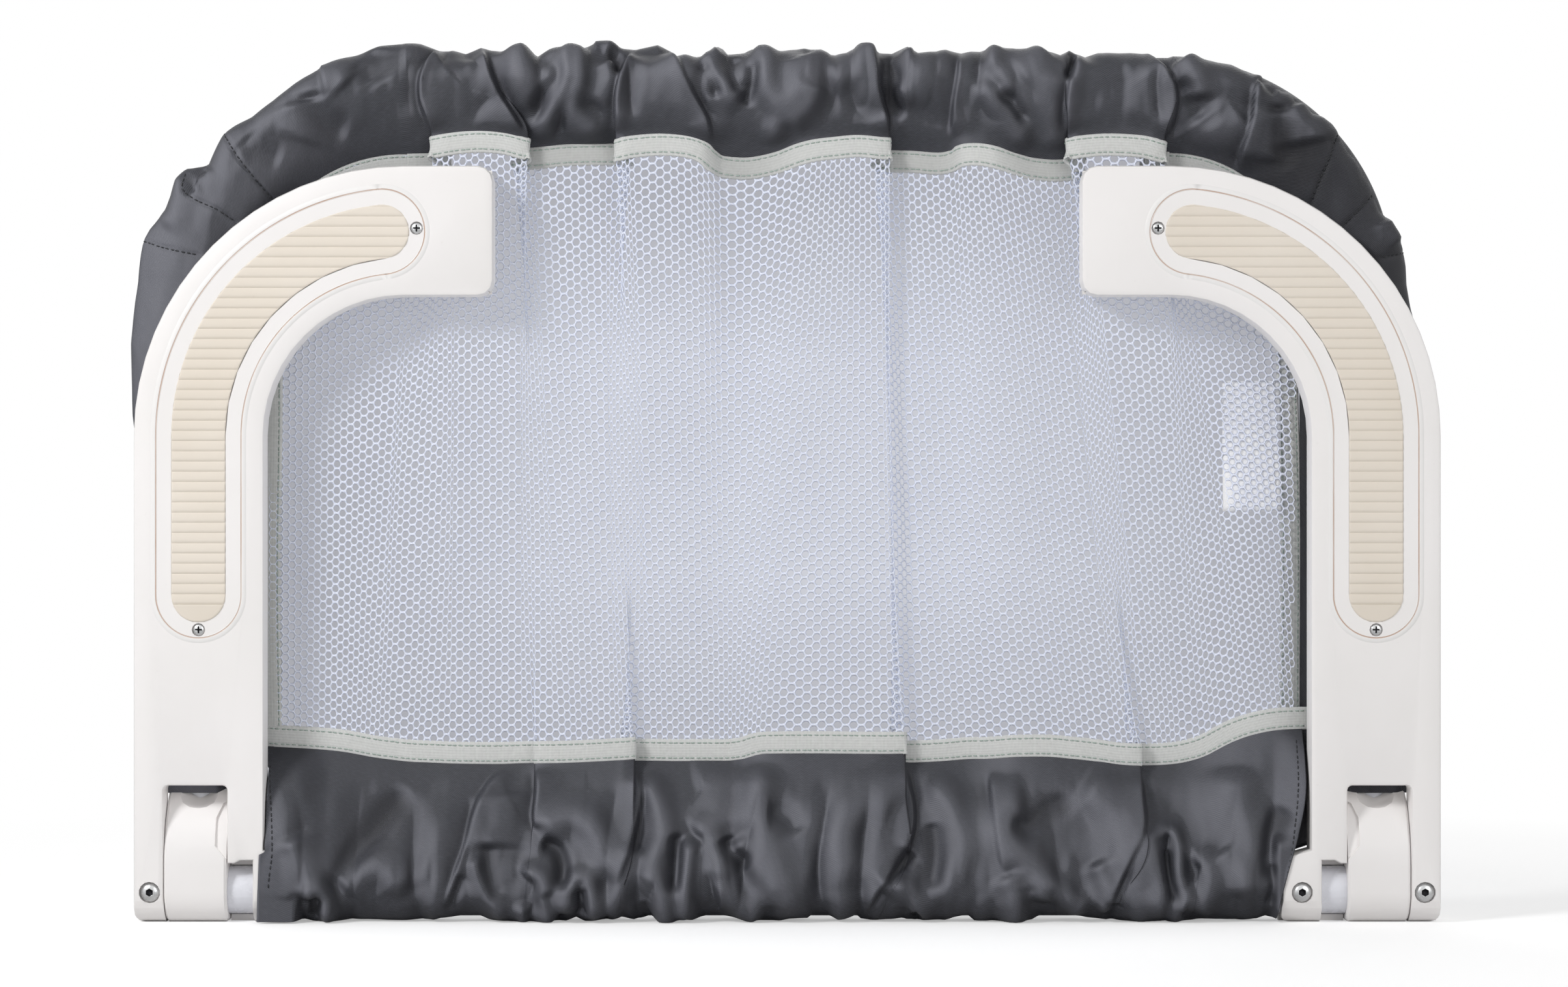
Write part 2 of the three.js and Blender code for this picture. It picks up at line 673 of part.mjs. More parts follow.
// Plastic bush in the mouth of the left-hand outer tube, round the sliding tube.
function glideBush(outerRadius, innerRadius, y, z) {
  const flangeEnd = tubeJoin - fitGap;
  const flange = rodAlongX(outerRadius, flangeEnd - bushFlange, flangeEnd, y, z, 14);
  const spigot = rodAlongX(outerRadius - tubeWall - fitGap, flangeEnd - bushFlange - bushSpigot,
    flangeEnd - bushFlange / 2, y, z, 14);
  const bore = rodAlongX(innerRadius + fitGap, flangeEnd - bushFlange - bushSpigot - overrun,
    flangeEnd + overrun, y, z, 14);
  return flange.add(spigot).subtract(bore);
}

// Plastic plug on the hidden end of a sliding tube, which guides it in the outer tube.
function glidePlug(outerRadius, innerRadius, y, z) {
  const face = -innerTubeEnd - fitGap;
  const guide = rodAlongX(outerRadius - tubeWall - fitGap, face - plugFlange, face, y, z, 14);
  return guide.add(rodAlongX(innerRadius - tubeWall - fitGap, face - plugFlange / 2,
    -innerTubeEnd + plugSpigot, y, z, 12));
}

// How far the cloth stands forward at x, from 0 to 1.
function standing(x, shares) {
  let sum = 0;
  for (const [start, end] of shares) {
    const from = start * uprightX;
    const to = end * uprightX;
    sum += THREE.MathUtils.smoothstep(x, from - foldEdge / 2, from + foldEdge / 2);
    sum -= THREE.MathUtils.smoothstep(x, to - foldEdge / 2, to + foldEdge / 2);
  }
  return sum;
}

// Depth of the panel's middle at x and z: the top hem's folds run into the bottom hem's.
function panelY(x, z) {
  const rise = THREE.MathUtils.clamp((z - coverBottomHeight) / (coverTopHeight - coverBottomHeight), 0, 1);
  const blend = THREE.MathUtils.smoothstep(rise, 0, 1);
  const forward = THREE.MathUtils.lerp(standing(x, bottomFoldShares), standing(x, topFoldShares), blend);
  return panelBack - foldDepth * forward;
}

// A solid from its points and triangles.
function indexedSolid(positions, index) {
  const geometry = new THREE.BufferGeometry();
  geometry.setAttribute('position', new THREE.Float32BufferAttribute(positions, 3));
  geometry.setIndex(index);
  geometry.computeVertexNormals();
  return geometry;
}

// Closes a grid of rings into a solid: place(i, j) gives the point of ring i at step j.
function ringSolid(rings, steps, place, closedAlong) {
  const positions = [];
  const index = [];
  for (let i = 0; i < rings; i += 1) {
    for (let j = 0; j < steps; j += 1) {
      positions.push(...place(i, j));
    }
  }
  const spans = closedAlong ? rings : rings - 1;
  for (let i = 0; i < spans; i += 1) {
    for (let j = 0; j < steps; j += 1) {
      const a = i * steps + j;
      const b = i * steps + (j + 1) % steps;
      const c = ((i + 1) % rings) * steps + j;
      const d = ((i + 1) % rings) * steps + (j + 1) % steps;
      index.push(a, c, b, b, c, d);
    }
  }
  if (!closedAlong) {
    for (let j = 1; j < steps - 1; j += 1) {
      const last = (rings - 1) * steps;
      index.push(0, j, j + 1, last, last + j + 1, last + j);
    }
  }
  return indexedSolid(positions, index);
}

// A cloth strip of even thickness: columns across, each a closed loop up the front and down the back.
function clothPanel(columns, rows, place, thickness) {
  const loop = 2 * rows;
  return ringSolid(columns, loop, (i, j) => {
    const back = j >= rows;
    const row = back ? loop - 1 - j : j;
    const [x, y, z] = place(i / (columns - 1), row / (rows - 1));
    return [x, y + (back ? thickness / 2 : -thickness / 2), z];
  }, false);
}

// The hem runs round the upper corners on a quarter ellipse about the tube's bend; inset draws it in.
function cornerHem(turn, inset) {
  const across = sideHem - tubeBendX - inset;
  const up = coverTopHeight - tubeBendZ - inset;
  return across * up / Math.hypot(up * Math.cos(turn), across * Math.sin(turn));
}

// Where the bars between and round a row of openings start and end, from 0 to 1.
function barEdges(openings, barShare) {
  const edges = [];
  for (let k = 0; k <= openings; k += 1) {
    edges.push(k / (openings + barShare), (k + barShare) / (openings + barShare));
  }
  return edges;
}

// A cloth sheet with a plain grid of openings through it: place(s, t) gives a point of its middle.
function openSheet(columns, rows, place, thickness) {
  const positions = [];
  for (const s of columns) {
    for (const t of rows) {
      const [x, y, z] = place(s, t);
      positions.push(x, y - thickness / 2, z, x, y + thickness / 2, z);
    }
  }
  const point = (i, j) => 2 * (i * rows.length + j);
  const within = (i, j) => i >= 0 && j >= 0 && i < columns.length - 1 && j < rows.length - 1;
  const closed = (i, j) => within(i, j) && (i % 2 === 0 || j % 2 === 0);
  const index = [];
  const quad = (a, b, c, d) => index.push(a, b, c, a, c, d);
  for (let i = 0; i < columns.length - 1; i += 1) {
    for (let j = 0; j < rows.length - 1; j += 1) {
      if (closed(i, j)) {
        const a = point(i, j);
        const b = point(i + 1, j);
        const c = point(i + 1, j + 1);
        const d = point(i, j + 1);
        quad(a, b, c, d);
        quad(a + 1, d + 1, c + 1, b + 1);
        if (!closed(i + 1, j)) quad(b, b + 1, c + 1, c);
        if (!closed(i - 1, j)) quad(a, d, d + 1, a + 1);
        if (!closed(i, j + 1)) quad(d, c, c + 1, d + 1);
        if (!closed(i, j - 1)) quad(a, a + 1, b + 1, b);
      }
    }
  }
  return indexedSolid(positions, index);
}

// The open net as a plain grid of large openings, with its vertical folds; its upper corners are round.
function meshPanel() {
  const inset = bindingWidth + 2 * fitGap;
  const half = sideHem - inset;
  const high = coverTopHeight - inset;
  const low = coverBottomHeight + inset;
  const across = half - tubeBendX;
  const columns = barEdges(netOpeningsAcross, netBarShare);
  const rows = barEdges(netOpeningsUp, netBarShare);
  return openSheet(columns, rows, (s, t) => {
    const x = half * (2 * s - 1);
    const past = Math.min(Math.max(Math.abs(x) - tubeBendX, 0) / across, 1);
    const top = tubeBendZ + (high - tubeBendZ) * Math.sqrt(1 - past * past);
    const z = THREE.MathUtils.lerp(low, top, t);
    return [x, panelY(x, z), z];
  }, meshThickness);
}

// A bound hem between the mesh and a sleeve, which follows the folds.
function hemBinding(bottom, half) {
  return clothPanel(46, 2, (s, t) => {
    const x = half * (2 * s - 1);
    const z = bottom + bindingWidth * t;
    return [x, panelY(x, bottom + bindingWidth / 2), z];
  }, bindingThickness);
}

// The binding up the side of the mesh and round its upper corner.
function sideBinding() {
  const low = coverBottomHeight + bindingWidth + 2 * fitGap;
  const outer = fitGap;
  const inner = fitGap + bindingWidth;
  const steps = 10;
  const points = [];
  corner(points, sideHem - outer, low);
  for (let i = 0; i <= steps; i += 1) {
    const turn = QUARTER * i / steps;
    const radius = cornerHem(turn, outer);
    corner(points, tubeBendX + radius * Math.cos(turn), tubeBendZ + radius * Math.sin(turn));
  }
  corner(points, sleeveSplit + fitGap, coverTopHeight - outer);
  corner(points, sleeveSplit + fitGap, coverTopHeight - inner);
  for (let i = steps; i >= 0; i -= 1) {
    const turn = QUARTER * i / steps;
    const radius = cornerHem(turn, inner);
    corner(points, tubeBendX + radius * Math.cos(turn), tubeBendZ + radius * Math.sin(turn));
  }
  corner(points, sideHem - inner, low);
  return acrossDepth(points, panelBack - bindingThickness / 2, panelBack + bindingThickness / 2);
}

// A point of a sleeve's section: a loop round the tube drawn out to the hem by straight sides.
function teardrop(angle, tipAngle, tipReach, radius) {
  let away = Math.abs(angle - tipAngle) % FULL;
  away = Math.min(away, FULL - away);
  const tangent = Math.acos(Math.min(radius / tipReach, 1));
  return away < tangent ? radius / Math.cos(tangent - away) : radius;
}

// Radius of a sleeve's corners where its sides just clear a tube.
function sleeveRadius(tubeRadius, inside) {
  return (tubeRadius + clothEase) / Math.cos(HALF / sleeveSteps) + (inside ? 0 : clothThickness);
}

// A sleeve as a cloth skin: outside rings out to the far end, inside rings back.
function sleeve(stations, place) {
  return ringSolid(2 * stations, sleeveSteps, (i, j) => {
    const inside = i >= stations;
    const station = inside ? 2 * stations - 1 - i : i;
    return place(station / (stations - 1), FULL * j / sleeveSteps, inside);
  }, true);
}

// Gathered sleeve round the top rail, closed along its lower hem.
function topSleeve() {
  return sleeve(44, (s, turn, inside) => {
    const x = sleeveSplit * (2 * s - 1);
    const tipY = panelY(x, coverTopHeight) - uprightSetback;
    const tipZ = coverTopHeight - topTubeHeight;
    const tipAngle = Math.atan2(-tipY, -tipZ);
    const angle = tipAngle + turn;
    const tipReach = Math.hypot(tipY, tipZ) - (inside ? 3 * clothThickness : 0);
    const facing = Math.max(Math.sin(angle), 0);
    const up = Math.max(-Math.cos(angle), 0);
    const crest = 0.5 - 0.5 * Math.cos(pleatsAcross * HALF * (s + 0.5));
    const forward = standing(x, topFoldShares);
    const puff = topPuff * (0.15 + 0.85 * crest) * (0.35 + 0.65 * up) + gatherPuff * facing * forward;
    const base = teardrop(angle, tipAngle, tipReach, sleeveRadius(topTubeRadius, inside));
    const ease = THREE.MathUtils.clamp((tipReach - base) / topTubeRadius, 0, 1);
    const radius = base + puff * ease;
    return [x, uprightSetback - radius * Math.sin(angle), topTubeHeight - radius * Math.cos(angle)];
  });
}

// Where the bottom sleeve's end lies at height z: beside the leg's foot, then beside the leg.
function bottomSleeveEnd(z) {
  return THREE.MathUtils.mapLinear(THREE.MathUtils.clamp(z, flareTop, coverBottomHeight),
    flareTop, coverBottomHeight, bottomSleeveFoot, bottomSleeveHem);
}

// Gathered sleeve round the bottom rail, closed along its upper hem.
function bottomSleeve() {
  return sleeve(46, (s, turn, inside) => {
    const share = 2 * s - 1;
    const x = bottomSleeveFoot * share;
    const tipY = panelY(x, coverBottomHeight);
    const tipZ = coverBottomHeight - hingeHeight;
    const tipAngle = Math.atan2(-tipY, -tipZ);
    const angle = tipAngle + turn;
    const tipReach = Math.hypot(tipY, tipZ) - (inside ? 4 * clothThickness : 0);
    const base = teardrop(angle, tipAngle, tipReach, sleeveRadius(bottomTubeRadius, inside));
    const crest = 0.5 - 0.5 * Math.cos((pleatsAcross + 2) * HALF * (s + 0.5));
    const up = Math.max(-Math.cos(angle), 0);
    const facing = Math.max(Math.sin(angle), 0);
    const ease = THREE.MathUtils.clamp((tipReach - base) / bottomTubeRadius, 0, 1);
    const puff = bottomBulge * up * (0.15 + 0.85 * crest) * (0.35 + 0.65 * facing)
      + scallopPuff * crest * (1 - up);
    const radius = base + puff * ease;
    const z = hingeHeight - radius * Math.cos(angle);
    return [bottomSleeveEnd(z) * share, -radius * Math.sin(angle), z];
  });
}

// Stations of the side sleeve: up the upright, round the corner, to the top sleeve.
const sideStations = 6;
const bendStations = 13;

function sideStation(s) {
  const step = s * (sideStations + bendStations);
  if (step < sideStations) {
    return { x: uprightX, z: THREE.MathUtils.lerp(sleeveSideBottom, tubeBendZ, step / sideStations), angle: 0 };
  }
  const angle = QUARTER * Math.min((step - sideStations) / (bendStations - 1), 1);
  const x = tubeBendX + tubeBendRadius * Math.cos(angle);
  const z = tubeBendZ + tubeBendRadius * Math.sin(angle);
  return s < 1 ? { x, z, angle } : { x: sleeveSplit + fitGap, z, angle };
}

// Loose sleeve round the upright and the corner, hemmed to the side binding along its inner edge.
function sideSleeve() {
  return sleeve(sideStations + bendStations + 1, (s, loop, inside) => {
    const { x, z, angle: turn } = sideStation(s);
    const angle = QUARTER + loop;
    const radius = sleeveRadius(topTubeRadius, inside);
    const innerReach = tubeBendRadius - cornerHem(turn, 0) - (inside ? 3 * clothThickness : 0);
    const inward = teardrop(angle, QUARTER, innerReach, radius);
    const loose = THREE.MathUtils.lerp(sleeveSideReach, radius, THREE.MathUtils.smoothstep(turn, 0, QUARTER));
    const reach = loose - (inside ? 2 * clothThickness : 0);
    const outward = teardrop(angle, 3 * QUARTER, Math.max(reach, radius), radius);
    const wave = cornerPuff * (0.5 - 0.5 * Math.cos(cornerWaves * FULL * s)) * Math.max(-Math.cos(angle), 0);
    const size = Math.max(inward, outward) + wave;
    const across = -size * Math.sin(angle);
    const px = x + across * Math.cos(turn);
    const pz = z + across * Math.sin(turn);
    return [px, uprightSetback - size * Math.cos(angle), pz];
  });
}

// Blank sewn-in care label behind the mesh at the right-hand binding.
function careLabel() {
  const right = sideHem - bindingWidth - 2 * fitGap;
  const front = panelBack + meshThickness / 2 + fitGap;
  return block(right - labelWidth, right, front, front + labelThickness, labelBottom, labelBottom + labelHeight);
}

function piece(name, shape, look) {
  const geometry = shape.isBufferGeometry ? shape : geometryOf(shape);
  const mesh = new THREE.Mesh(geometry, new THREE.MeshStandardMaterial(materials[look]));
  mesh.name = name;
  return mesh;
}

// Everything that folds up with one leg.
function legGroup(side) {
  const group = new THREE.Group();
  group.add(piece(`${side}_leg_arm`, legArm(), 'cream'));
  group.add(piece(`${side}_leg_back_cover`, legBackCover(), 'cream'));
  group.add(piece(`${side}_pad_plate`, padPlate(), 'cream'));
  group.add(piece(`${side}_grip_pad`, gripPad(), 'pad'));
  padScrews.forEach(([x, z], i) => {
    const screw = piece(`${side}_pad_screw_${i + 1}`, padScrew(), 'zinc');
    screw.position.set(x, -legDepth, z);
    group.add(screw);
  });
  const seat = -legDepth + boltSeatDepth - boltHeadHeight - fitGap;
  [outerBoltX, innerBoltX].forEach((x, i) => {
    const bolt = piece(`${side}_hinge_bolt_${i + 1}`, hingeBolt(), 'zinc');
    bolt.position.set(x, seat, hingeHeight);
    const nut = piece(`${side}_hinge_nut_${i + 1}`, hingeNut(), 'zinc');
    nut.position.set(x, barrelRadius - nutSeatDepth + fitGap, hingeHeight);
    group.add(bolt, nut);
  });
  return group;
}

// The knuckle and the frame pieces that it carries at one end.
function frameGroup(side) {
  const group = new THREE.Group();
  group.add(piece(`${side}_knuckle`, knuckle(), 'cream'));
  const screw = piece(`${side}_socket_screw`, socketScrew(), 'zinc');
  const back = uprightSetback + topTubeRadius + fitGap + knuckleWall;
  screw.rotation.z = HALF;
  screw.position.set(knuckleX, back + socketScrewHeadHeight / 2 + fitGap, socketScrewHeight);
  group.add(screw);
  group.add(piece(`${side}_side_sleeve`, sideSleeve(), 'twill'));
  group.add(piece(`${side}_side_binding`, sideBinding(), 'binding'));
  return group;
}

function mirrored(group) {
  group.scale.x = -1;
  return group;
}

const rightLeg = legGroup('right');
rightLeg.add(piece('right_bottom_tube', bottomTube(tubeJoin + fitGap), 'tube'));
rightLeg.add(piece('bottom_inner_tube', bottomInnerTube(), 'innerTube'));
rightLeg.add(piece('bottom_glide_plug', glidePlug(bottomTubeRadius, bottomInnerRadius, 0, hingeHeight), 'bush'));

const leftLeg = mirrored(legGroup('left'));
const leftTubeEnd = -(tubeJoin - 2 * fitGap - bushFlange);
leftLeg.add(piece('left_bottom_tube', bottomTube(leftTubeEnd), 'tube'));

const rightFrame = frameGroup('right');
const rightCorner = cornerTube(tubeJoin + fitGap).subtract(pinHole());
rightFrame.add(piece('right_corner_tube', rightCorner, 'tube'));
rightFrame.add(piece('top_inner_tube', topInnerTube(), 'innerTube'));
rightFrame.add(piece('top_pin', topPin(), 'zinc'));
const topPlug = glidePlug(topTubeRadius, topInnerRadius, uprightSetback, topTubeHeight);
rightFrame.add(piece('top_glide_plug', topPlug, 'bush'));
rightFrame.add(piece('care_label', careLabel(), 'label'));

const leftFrame = mirrored(frameGroup('left'));
leftFrame.add(piece('left_corner_tube', cornerTube(leftTubeEnd), 'tube'));

const cover = new THREE.Group();
cover.add(piece('top_sleeve', topSleeve(), 'twill'));
cover.add(piece('bottom_sleeve', bottomSleeve(), 'twill'));
cover.add(piece('mesh_panel', meshPanel(), 'mesh'));
const topHem = coverTopHeight - fitGap - bindingWidth;
cover.add(piece('top_binding', hemBinding(topHem, sleeveSplit), 'binding'));
cover.add(piece('bottom_binding', hemBinding(coverBottomHeight + fitGap / 2, bottomSleeveHem), 'binding'));

const bushes = new THREE.Group();
const topBush = glideBush(topTubeRadius, topInnerRadius, uprightSetback, topTubeHeight);
bushes.add(piece('top_glide_bush', topBush, 'bush'));
bushes.add(piece('bottom_glide_bush', glideBush(bottomTubeRadius, bottomInnerRadius, 0, hingeHeight), 'bush'));

const guardRail = new THREE.Group();
guardRail.position.y = -depthCentre;
guardRail.add(leftLeg, rightLeg, leftFrame, rightFrame, bushes, cover);

export default guardRail;
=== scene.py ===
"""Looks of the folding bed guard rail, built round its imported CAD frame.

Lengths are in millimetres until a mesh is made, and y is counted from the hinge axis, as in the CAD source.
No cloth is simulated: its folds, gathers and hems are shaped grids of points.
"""

import math

import bmesh
import bpy
import numpy as np
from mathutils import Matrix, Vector


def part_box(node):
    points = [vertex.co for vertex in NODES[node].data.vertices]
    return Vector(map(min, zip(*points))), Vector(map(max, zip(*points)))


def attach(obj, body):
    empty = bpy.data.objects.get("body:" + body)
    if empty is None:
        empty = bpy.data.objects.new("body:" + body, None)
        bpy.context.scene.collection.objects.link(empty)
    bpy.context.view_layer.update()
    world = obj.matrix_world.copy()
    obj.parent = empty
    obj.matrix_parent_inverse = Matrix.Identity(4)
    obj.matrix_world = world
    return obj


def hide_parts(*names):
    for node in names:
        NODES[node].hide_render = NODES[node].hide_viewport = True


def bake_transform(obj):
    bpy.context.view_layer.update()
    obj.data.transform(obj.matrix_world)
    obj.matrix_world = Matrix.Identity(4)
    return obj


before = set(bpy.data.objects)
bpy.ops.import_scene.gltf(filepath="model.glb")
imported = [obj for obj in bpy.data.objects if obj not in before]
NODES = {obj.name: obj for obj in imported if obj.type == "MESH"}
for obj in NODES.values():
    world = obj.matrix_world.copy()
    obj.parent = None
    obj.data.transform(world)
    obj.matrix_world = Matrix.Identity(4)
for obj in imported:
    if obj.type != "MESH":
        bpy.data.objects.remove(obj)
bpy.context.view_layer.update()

DEPTH = 6.2  # the CAD source measures depth from the hinge axis, the frame from the middle


# Materials


def srgb(r, g, b):
    out = []
    for v in (r, g, b):
        v /= 255.0
        out.append(v / 12.92 if v <= 0.04045 else ((v + 0.055) / 1.055) ** 2.4)
    return tuple(out) + (1.0,)


def dimmed(colour, r, g, b):
    """A colour with its red, green and blue turned down."""
    return (colour[0] * r, colour[1] * g, colour[2] * b, 1)


class Nodes:
    """A small helper that adds and links the nodes of one material."""

    def __init__(self, name):
        self.mat = bpy.data.materials.new(name)
        self.mat.use_nodes = True
        self.tree = self.mat.node_tree
        self.tree.nodes.clear()
        self.out = self.add("ShaderNodeOutputMaterial")

    def add(self, kind, **values):
        """A node with its properties and sockets set; a socket's spaces are written as underscores."""
        node = self.tree.nodes.new(kind)
        for key, value in values.items():
            if key in node.bl_rna.properties.keys():
                setattr(node, key, value)
            else:
                self.put(node, key.replace("_", " "), value)
        return node

    def put(self, node, key, value):
        if isinstance(value, bpy.types.NodeSocket):
            self.tree.links.new(value, node.inputs[key])
        else:
            node.inputs[key].default_value = value

    def math(self, op, a, b=0.0):
        node = self.add("ShaderNodeMath", operation=op)
        self.put(node, 0, a)
        self.put(node, 1, b)
        return node.outputs[0]

    def ramp(self, value, stops):
        """Grey between stops of (place, shade)."""
        node = self.add("ShaderNodeValToRGB")
        band = node.color_ramp
        while len(band.elements) < len(stops):
            band.elements.new(0.5)
        for el, (place, shade) in zip(band.elements, stops):
            el.position = place
            el.color = (shade, shade, shade, 1)
        self.put(node, 0, value)
        return node.outputs[0]

    def mix(self, factor, a, b):
        """Colour a going over to colour b as the factor goes from 0 to 1."""
        node = self.add("ShaderNodeMix", data_type="RGBA")
        for socket, value in ((0, factor), (6, a), (7, b)):
            self.put(node, socket, value)
        return node.outputs[2]

    def mottle(self, factor, low, high, a, b):
        """Colour a going over to colour b as a noise goes from low to high."""
        return self.mix(self.ramp(factor, [(low, 0.0), (high, 1.0)]), a, b)

    def noise(self, vector, scale, detail=3.0, rough=0.55):
        node = self.add("ShaderNodeTexNoise", Vector=vector, Scale=scale, Detail=detail, Roughness=rough)
        return node.outputs[0]

    def bump(self, height, distance, strength=1.0, normal=None):
        node = self.add("ShaderNodeBump", Height=height, Distance=distance, Strength=strength)
        if normal is not None:
            self.put(node, "Normal", normal)
        return node.outputs[0]

    def blend(self, factor, a, b):
        """Shader a going over to shader b as the factor goes from 0 to 1."""
        node = self.add("ShaderNodeMixShader")
        for socket, value in ((0, factor), (1, a), (2, b)):
            self.put(node, socket, value)
        return node.outputs[0]

    def glow(self, colour, strength):
        return self.add("ShaderNodeEmission", Color=colour, Strength=strength).outputs[0]

    def principled(self, **values):
        return self.add("ShaderNodeBsdfPrincipled", **values).outputs[0]

    def finish(self, shader):
        self.tree.links.new(shader, self.out.inputs[0])
        return self.mat


def place_of(n):
    return n.add("ShaderNodeTexCoord").outputs["Object"]


def edge_wear(n, width):
    """1 on outer edges, 0 on flats: the bevelled normal against the true one."""
    geo = n.add("ShaderNodeNewGeometry")
    soft = n.add("ShaderNodeBevel", samples=4, Radius=width)
    dot = n.add("ShaderNodeVectorMath", operation="DOT_PRODUCT")
    n.put(dot, 0, geo.outputs["Normal"])
    n.put(dot, 1, soft.outputs[0])
    return n.ramp(dot.outputs["Value"], [(0.86, 1.0), (0.985, 0.0)])


def plastic(name, colour, shade, rough, grain, tint=0.06, coat=0.0):
    """Moulded plastic: fine spark grain, faint flow mottling, slightly polished edges."""
    n = Nodes(name)
    at = place_of(n)
    broad = n.noise(at, 14.0, 3.0)
    fine = n.noise(at, 950.0, 2.0, 0.6)
    colour = n.mottle(broad, 0.3, 0.72, colour, shade)
    specks = n.ramp(n.noise(at, 380.0, 2.0), [(0.70, 0.0), (0.80, tint)])
    matt = n.ramp(fine, [(0.25, rough - 0.05), (0.75, rough + 0.07)])
    polish = n.math("MULTIPLY", edge_wear(n, 0.0008), 0.08)
    return n.finish(n.principled(
        Base_Color=n.mix(specks, colour, dimmed(shade, 0.6, 0.58, 0.52)),
        Roughness=n.math("SUBTRACT", matt, polish),
        Specular_IOR_Level=0.45,
        Coat_Weight=coat,
        Normal=n.bump(fine, grain, 0.35, n.bump(broad, 0.0003, 0.25)),
    ))


SEAM_REACH = 21.95  # the plate's seam, in mm from the middle line of the pad


def seam_plastic():
    """The moulding with a brown line of handling dirt down its seam; cloth v is the reach in metres."""
    n = Nodes("seam_moulding")
    at = place_of(n)
    uv = n.add("ShaderNodeUVMap", uv_map="cloth").outputs[0]
    reach = n.add("ShaderNodeSeparateXYZ", Vector=uv).outputs[1]
    away = n.math("ABSOLUTE", n.math("SUBTRACT", n.math("MULTIPLY", reach, 1000.0), SEAM_REACH))
    patchy = n.ramp(n.noise(at, 30.0, 3.0), [(0.3, 0.55), (0.7, 1.0)])
    line = n.math("MULTIPLY", n.ramp(away, [(0.22, 1.0), (0.42, 0.0)]), patchy)
    fine = n.noise(at, 950.0, 2.0, 0.6)
    broad = n.noise(at, 14.0, 3.0)
    colour = n.mottle(broad, 0.3, 0.72, srgb(243, 241, 240), srgb(240, 238, 236))
    return n.finish(n.principled(
        Base_Color=n.mix(line, colour, srgb(196, 166, 148)),
        Roughness=n.ramp(fine, [(0.25, 0.37), (0.75, 0.49)]),
        Specular_IOR_Level=0.45,
        Coat_Weight=0.05,
        Normal=n.bump(fine, 0.00004, 0.35),
    ))


def metal(name, colour, rough, streak=(60.0, 60.0, 60.0)):
    """Plated or drawn metal with fine streaks and a little tarnish."""
    n = Nodes(name)
    at = place_of(n)
    run = n.add("ShaderNodeMapping", Vector=at, Scale=streak).outputs[0]
    streaks = n.noise(run, 30.0, 4.0, 0.7)
    tarnish = n.ramp(n.noise(at, 160.0, 4.0), [(0.45, 0.0), (0.8, 0.5)])
    return n.finish(n.principled(
        Base_Color=n.mix(tarnish, colour, dimmed(colour, 0.55, 0.54, 0.5)),
        Metallic=1.0,
        Roughness=n.ramp(streaks, [(0.3, rough - 0.07), (0.7, rough + 0.1)]),
        Normal=n.bump(streaks, 0.00003, 0.5),
    ))


def painted_tube():
    """Glossy white paint with a slight orange peel."""
    n = Nodes("tube_paint")
    at = place_of(n)
    peel = n.noise(at, 260.0, 2.0, 0.4)
    broad = n.noise(at, 22.0, 2.0)
    return n.finish(n.principled(
        Base_Color=n.mottle(broad, 0.3, 0.7, srgb(233, 234, 240), srgb(222, 223, 231)),
        Roughness=n.ramp(peel, [(0.3, 0.2), (0.7, 0.3)]),
        Coat_Weight=0.5,
        Coat_Roughness=0.12,
        Normal=n.bump(peel, 0.00006, 0.6),
    ))


def weave_of(n, scale_u, scale_v, angle=0.0):
    """Sine ribs over the mesh's own cloth coordinates, which are in metres."""
    uv = n.add("ShaderNodeUVMap", uv_map="cloth").outputs[0]
    turned = n.add("ShaderNodeMapping", Vector=uv, Rotation=(0, 0, math.radians(angle)))
    parts = n.add("ShaderNodeSeparateXYZ", Vector=turned.outputs[0])
    u = n.math("SINE", n.math("MULTIPLY", parts.outputs[0], 2 * math.pi * scale_u))
    v = n.math("SINE", n.math("MULTIPLY", parts.outputs[1], 2 * math.pi * scale_v))
    return uv, u, v


def painted_fold_light_and_shade(n, base):
    """Painted highlight where a fold stands up and faces the lamp; painted shade in valleys and on faces
    turned away.
    """
    relief = n.add("ShaderNodeAttribute", attribute_name="relief").outputs["Fac"]
    relief = n.math("ADD", n.math("MULTIPLY", relief, 0.05), 0.5)  # 0 is 10 mm deep, 1 is 10 mm high
    out = n.add("ShaderNodeSeparateXYZ", Vector=n.add("ShaderNodeNewGeometry").outputs["Normal"])
    toward = n.math("MULTIPLY", n.math("ABSOLUTE", out.outputs[1]), 0.88)  # painted light on the back as on the front
    toward = n.math("ADD", toward, n.math("MULTIPLY", out.outputs[0], -0.45))
    toward = n.math("ADD", toward, n.math("MULTIPLY", out.outputs[2], 0.12))
    # Painted shade in the valleys, painted highlight on the crowns, painted shade on faces turned from the
    # lamp.
    base = n.mix(n.ramp(relief, [(0.15, 0.85), (0.45, 0.0)]), base, srgb(24, 24, 28))
    base = n.mix(n.ramp(relief, [(0.55, 0.0), (0.95, 0.45)]), base, srgb(118, 119, 127))
    base = n.mix(n.ramp(toward, [(0.28, 0.65), (0.78, 0.0)]), base, srgb(30, 30, 34))
    # Painted highlight on raised faces turned toward the lamp.
    facing = n.ramp(toward, [(0.82, 0.0), (1.0, 0.75)])
    raised = n.ramp(relief, [(0.22, 0.0), (0.46, 1.0)])
    return n.mix(n.math("MULTIPLY", facing, raised), base, srgb(116, 117, 125))


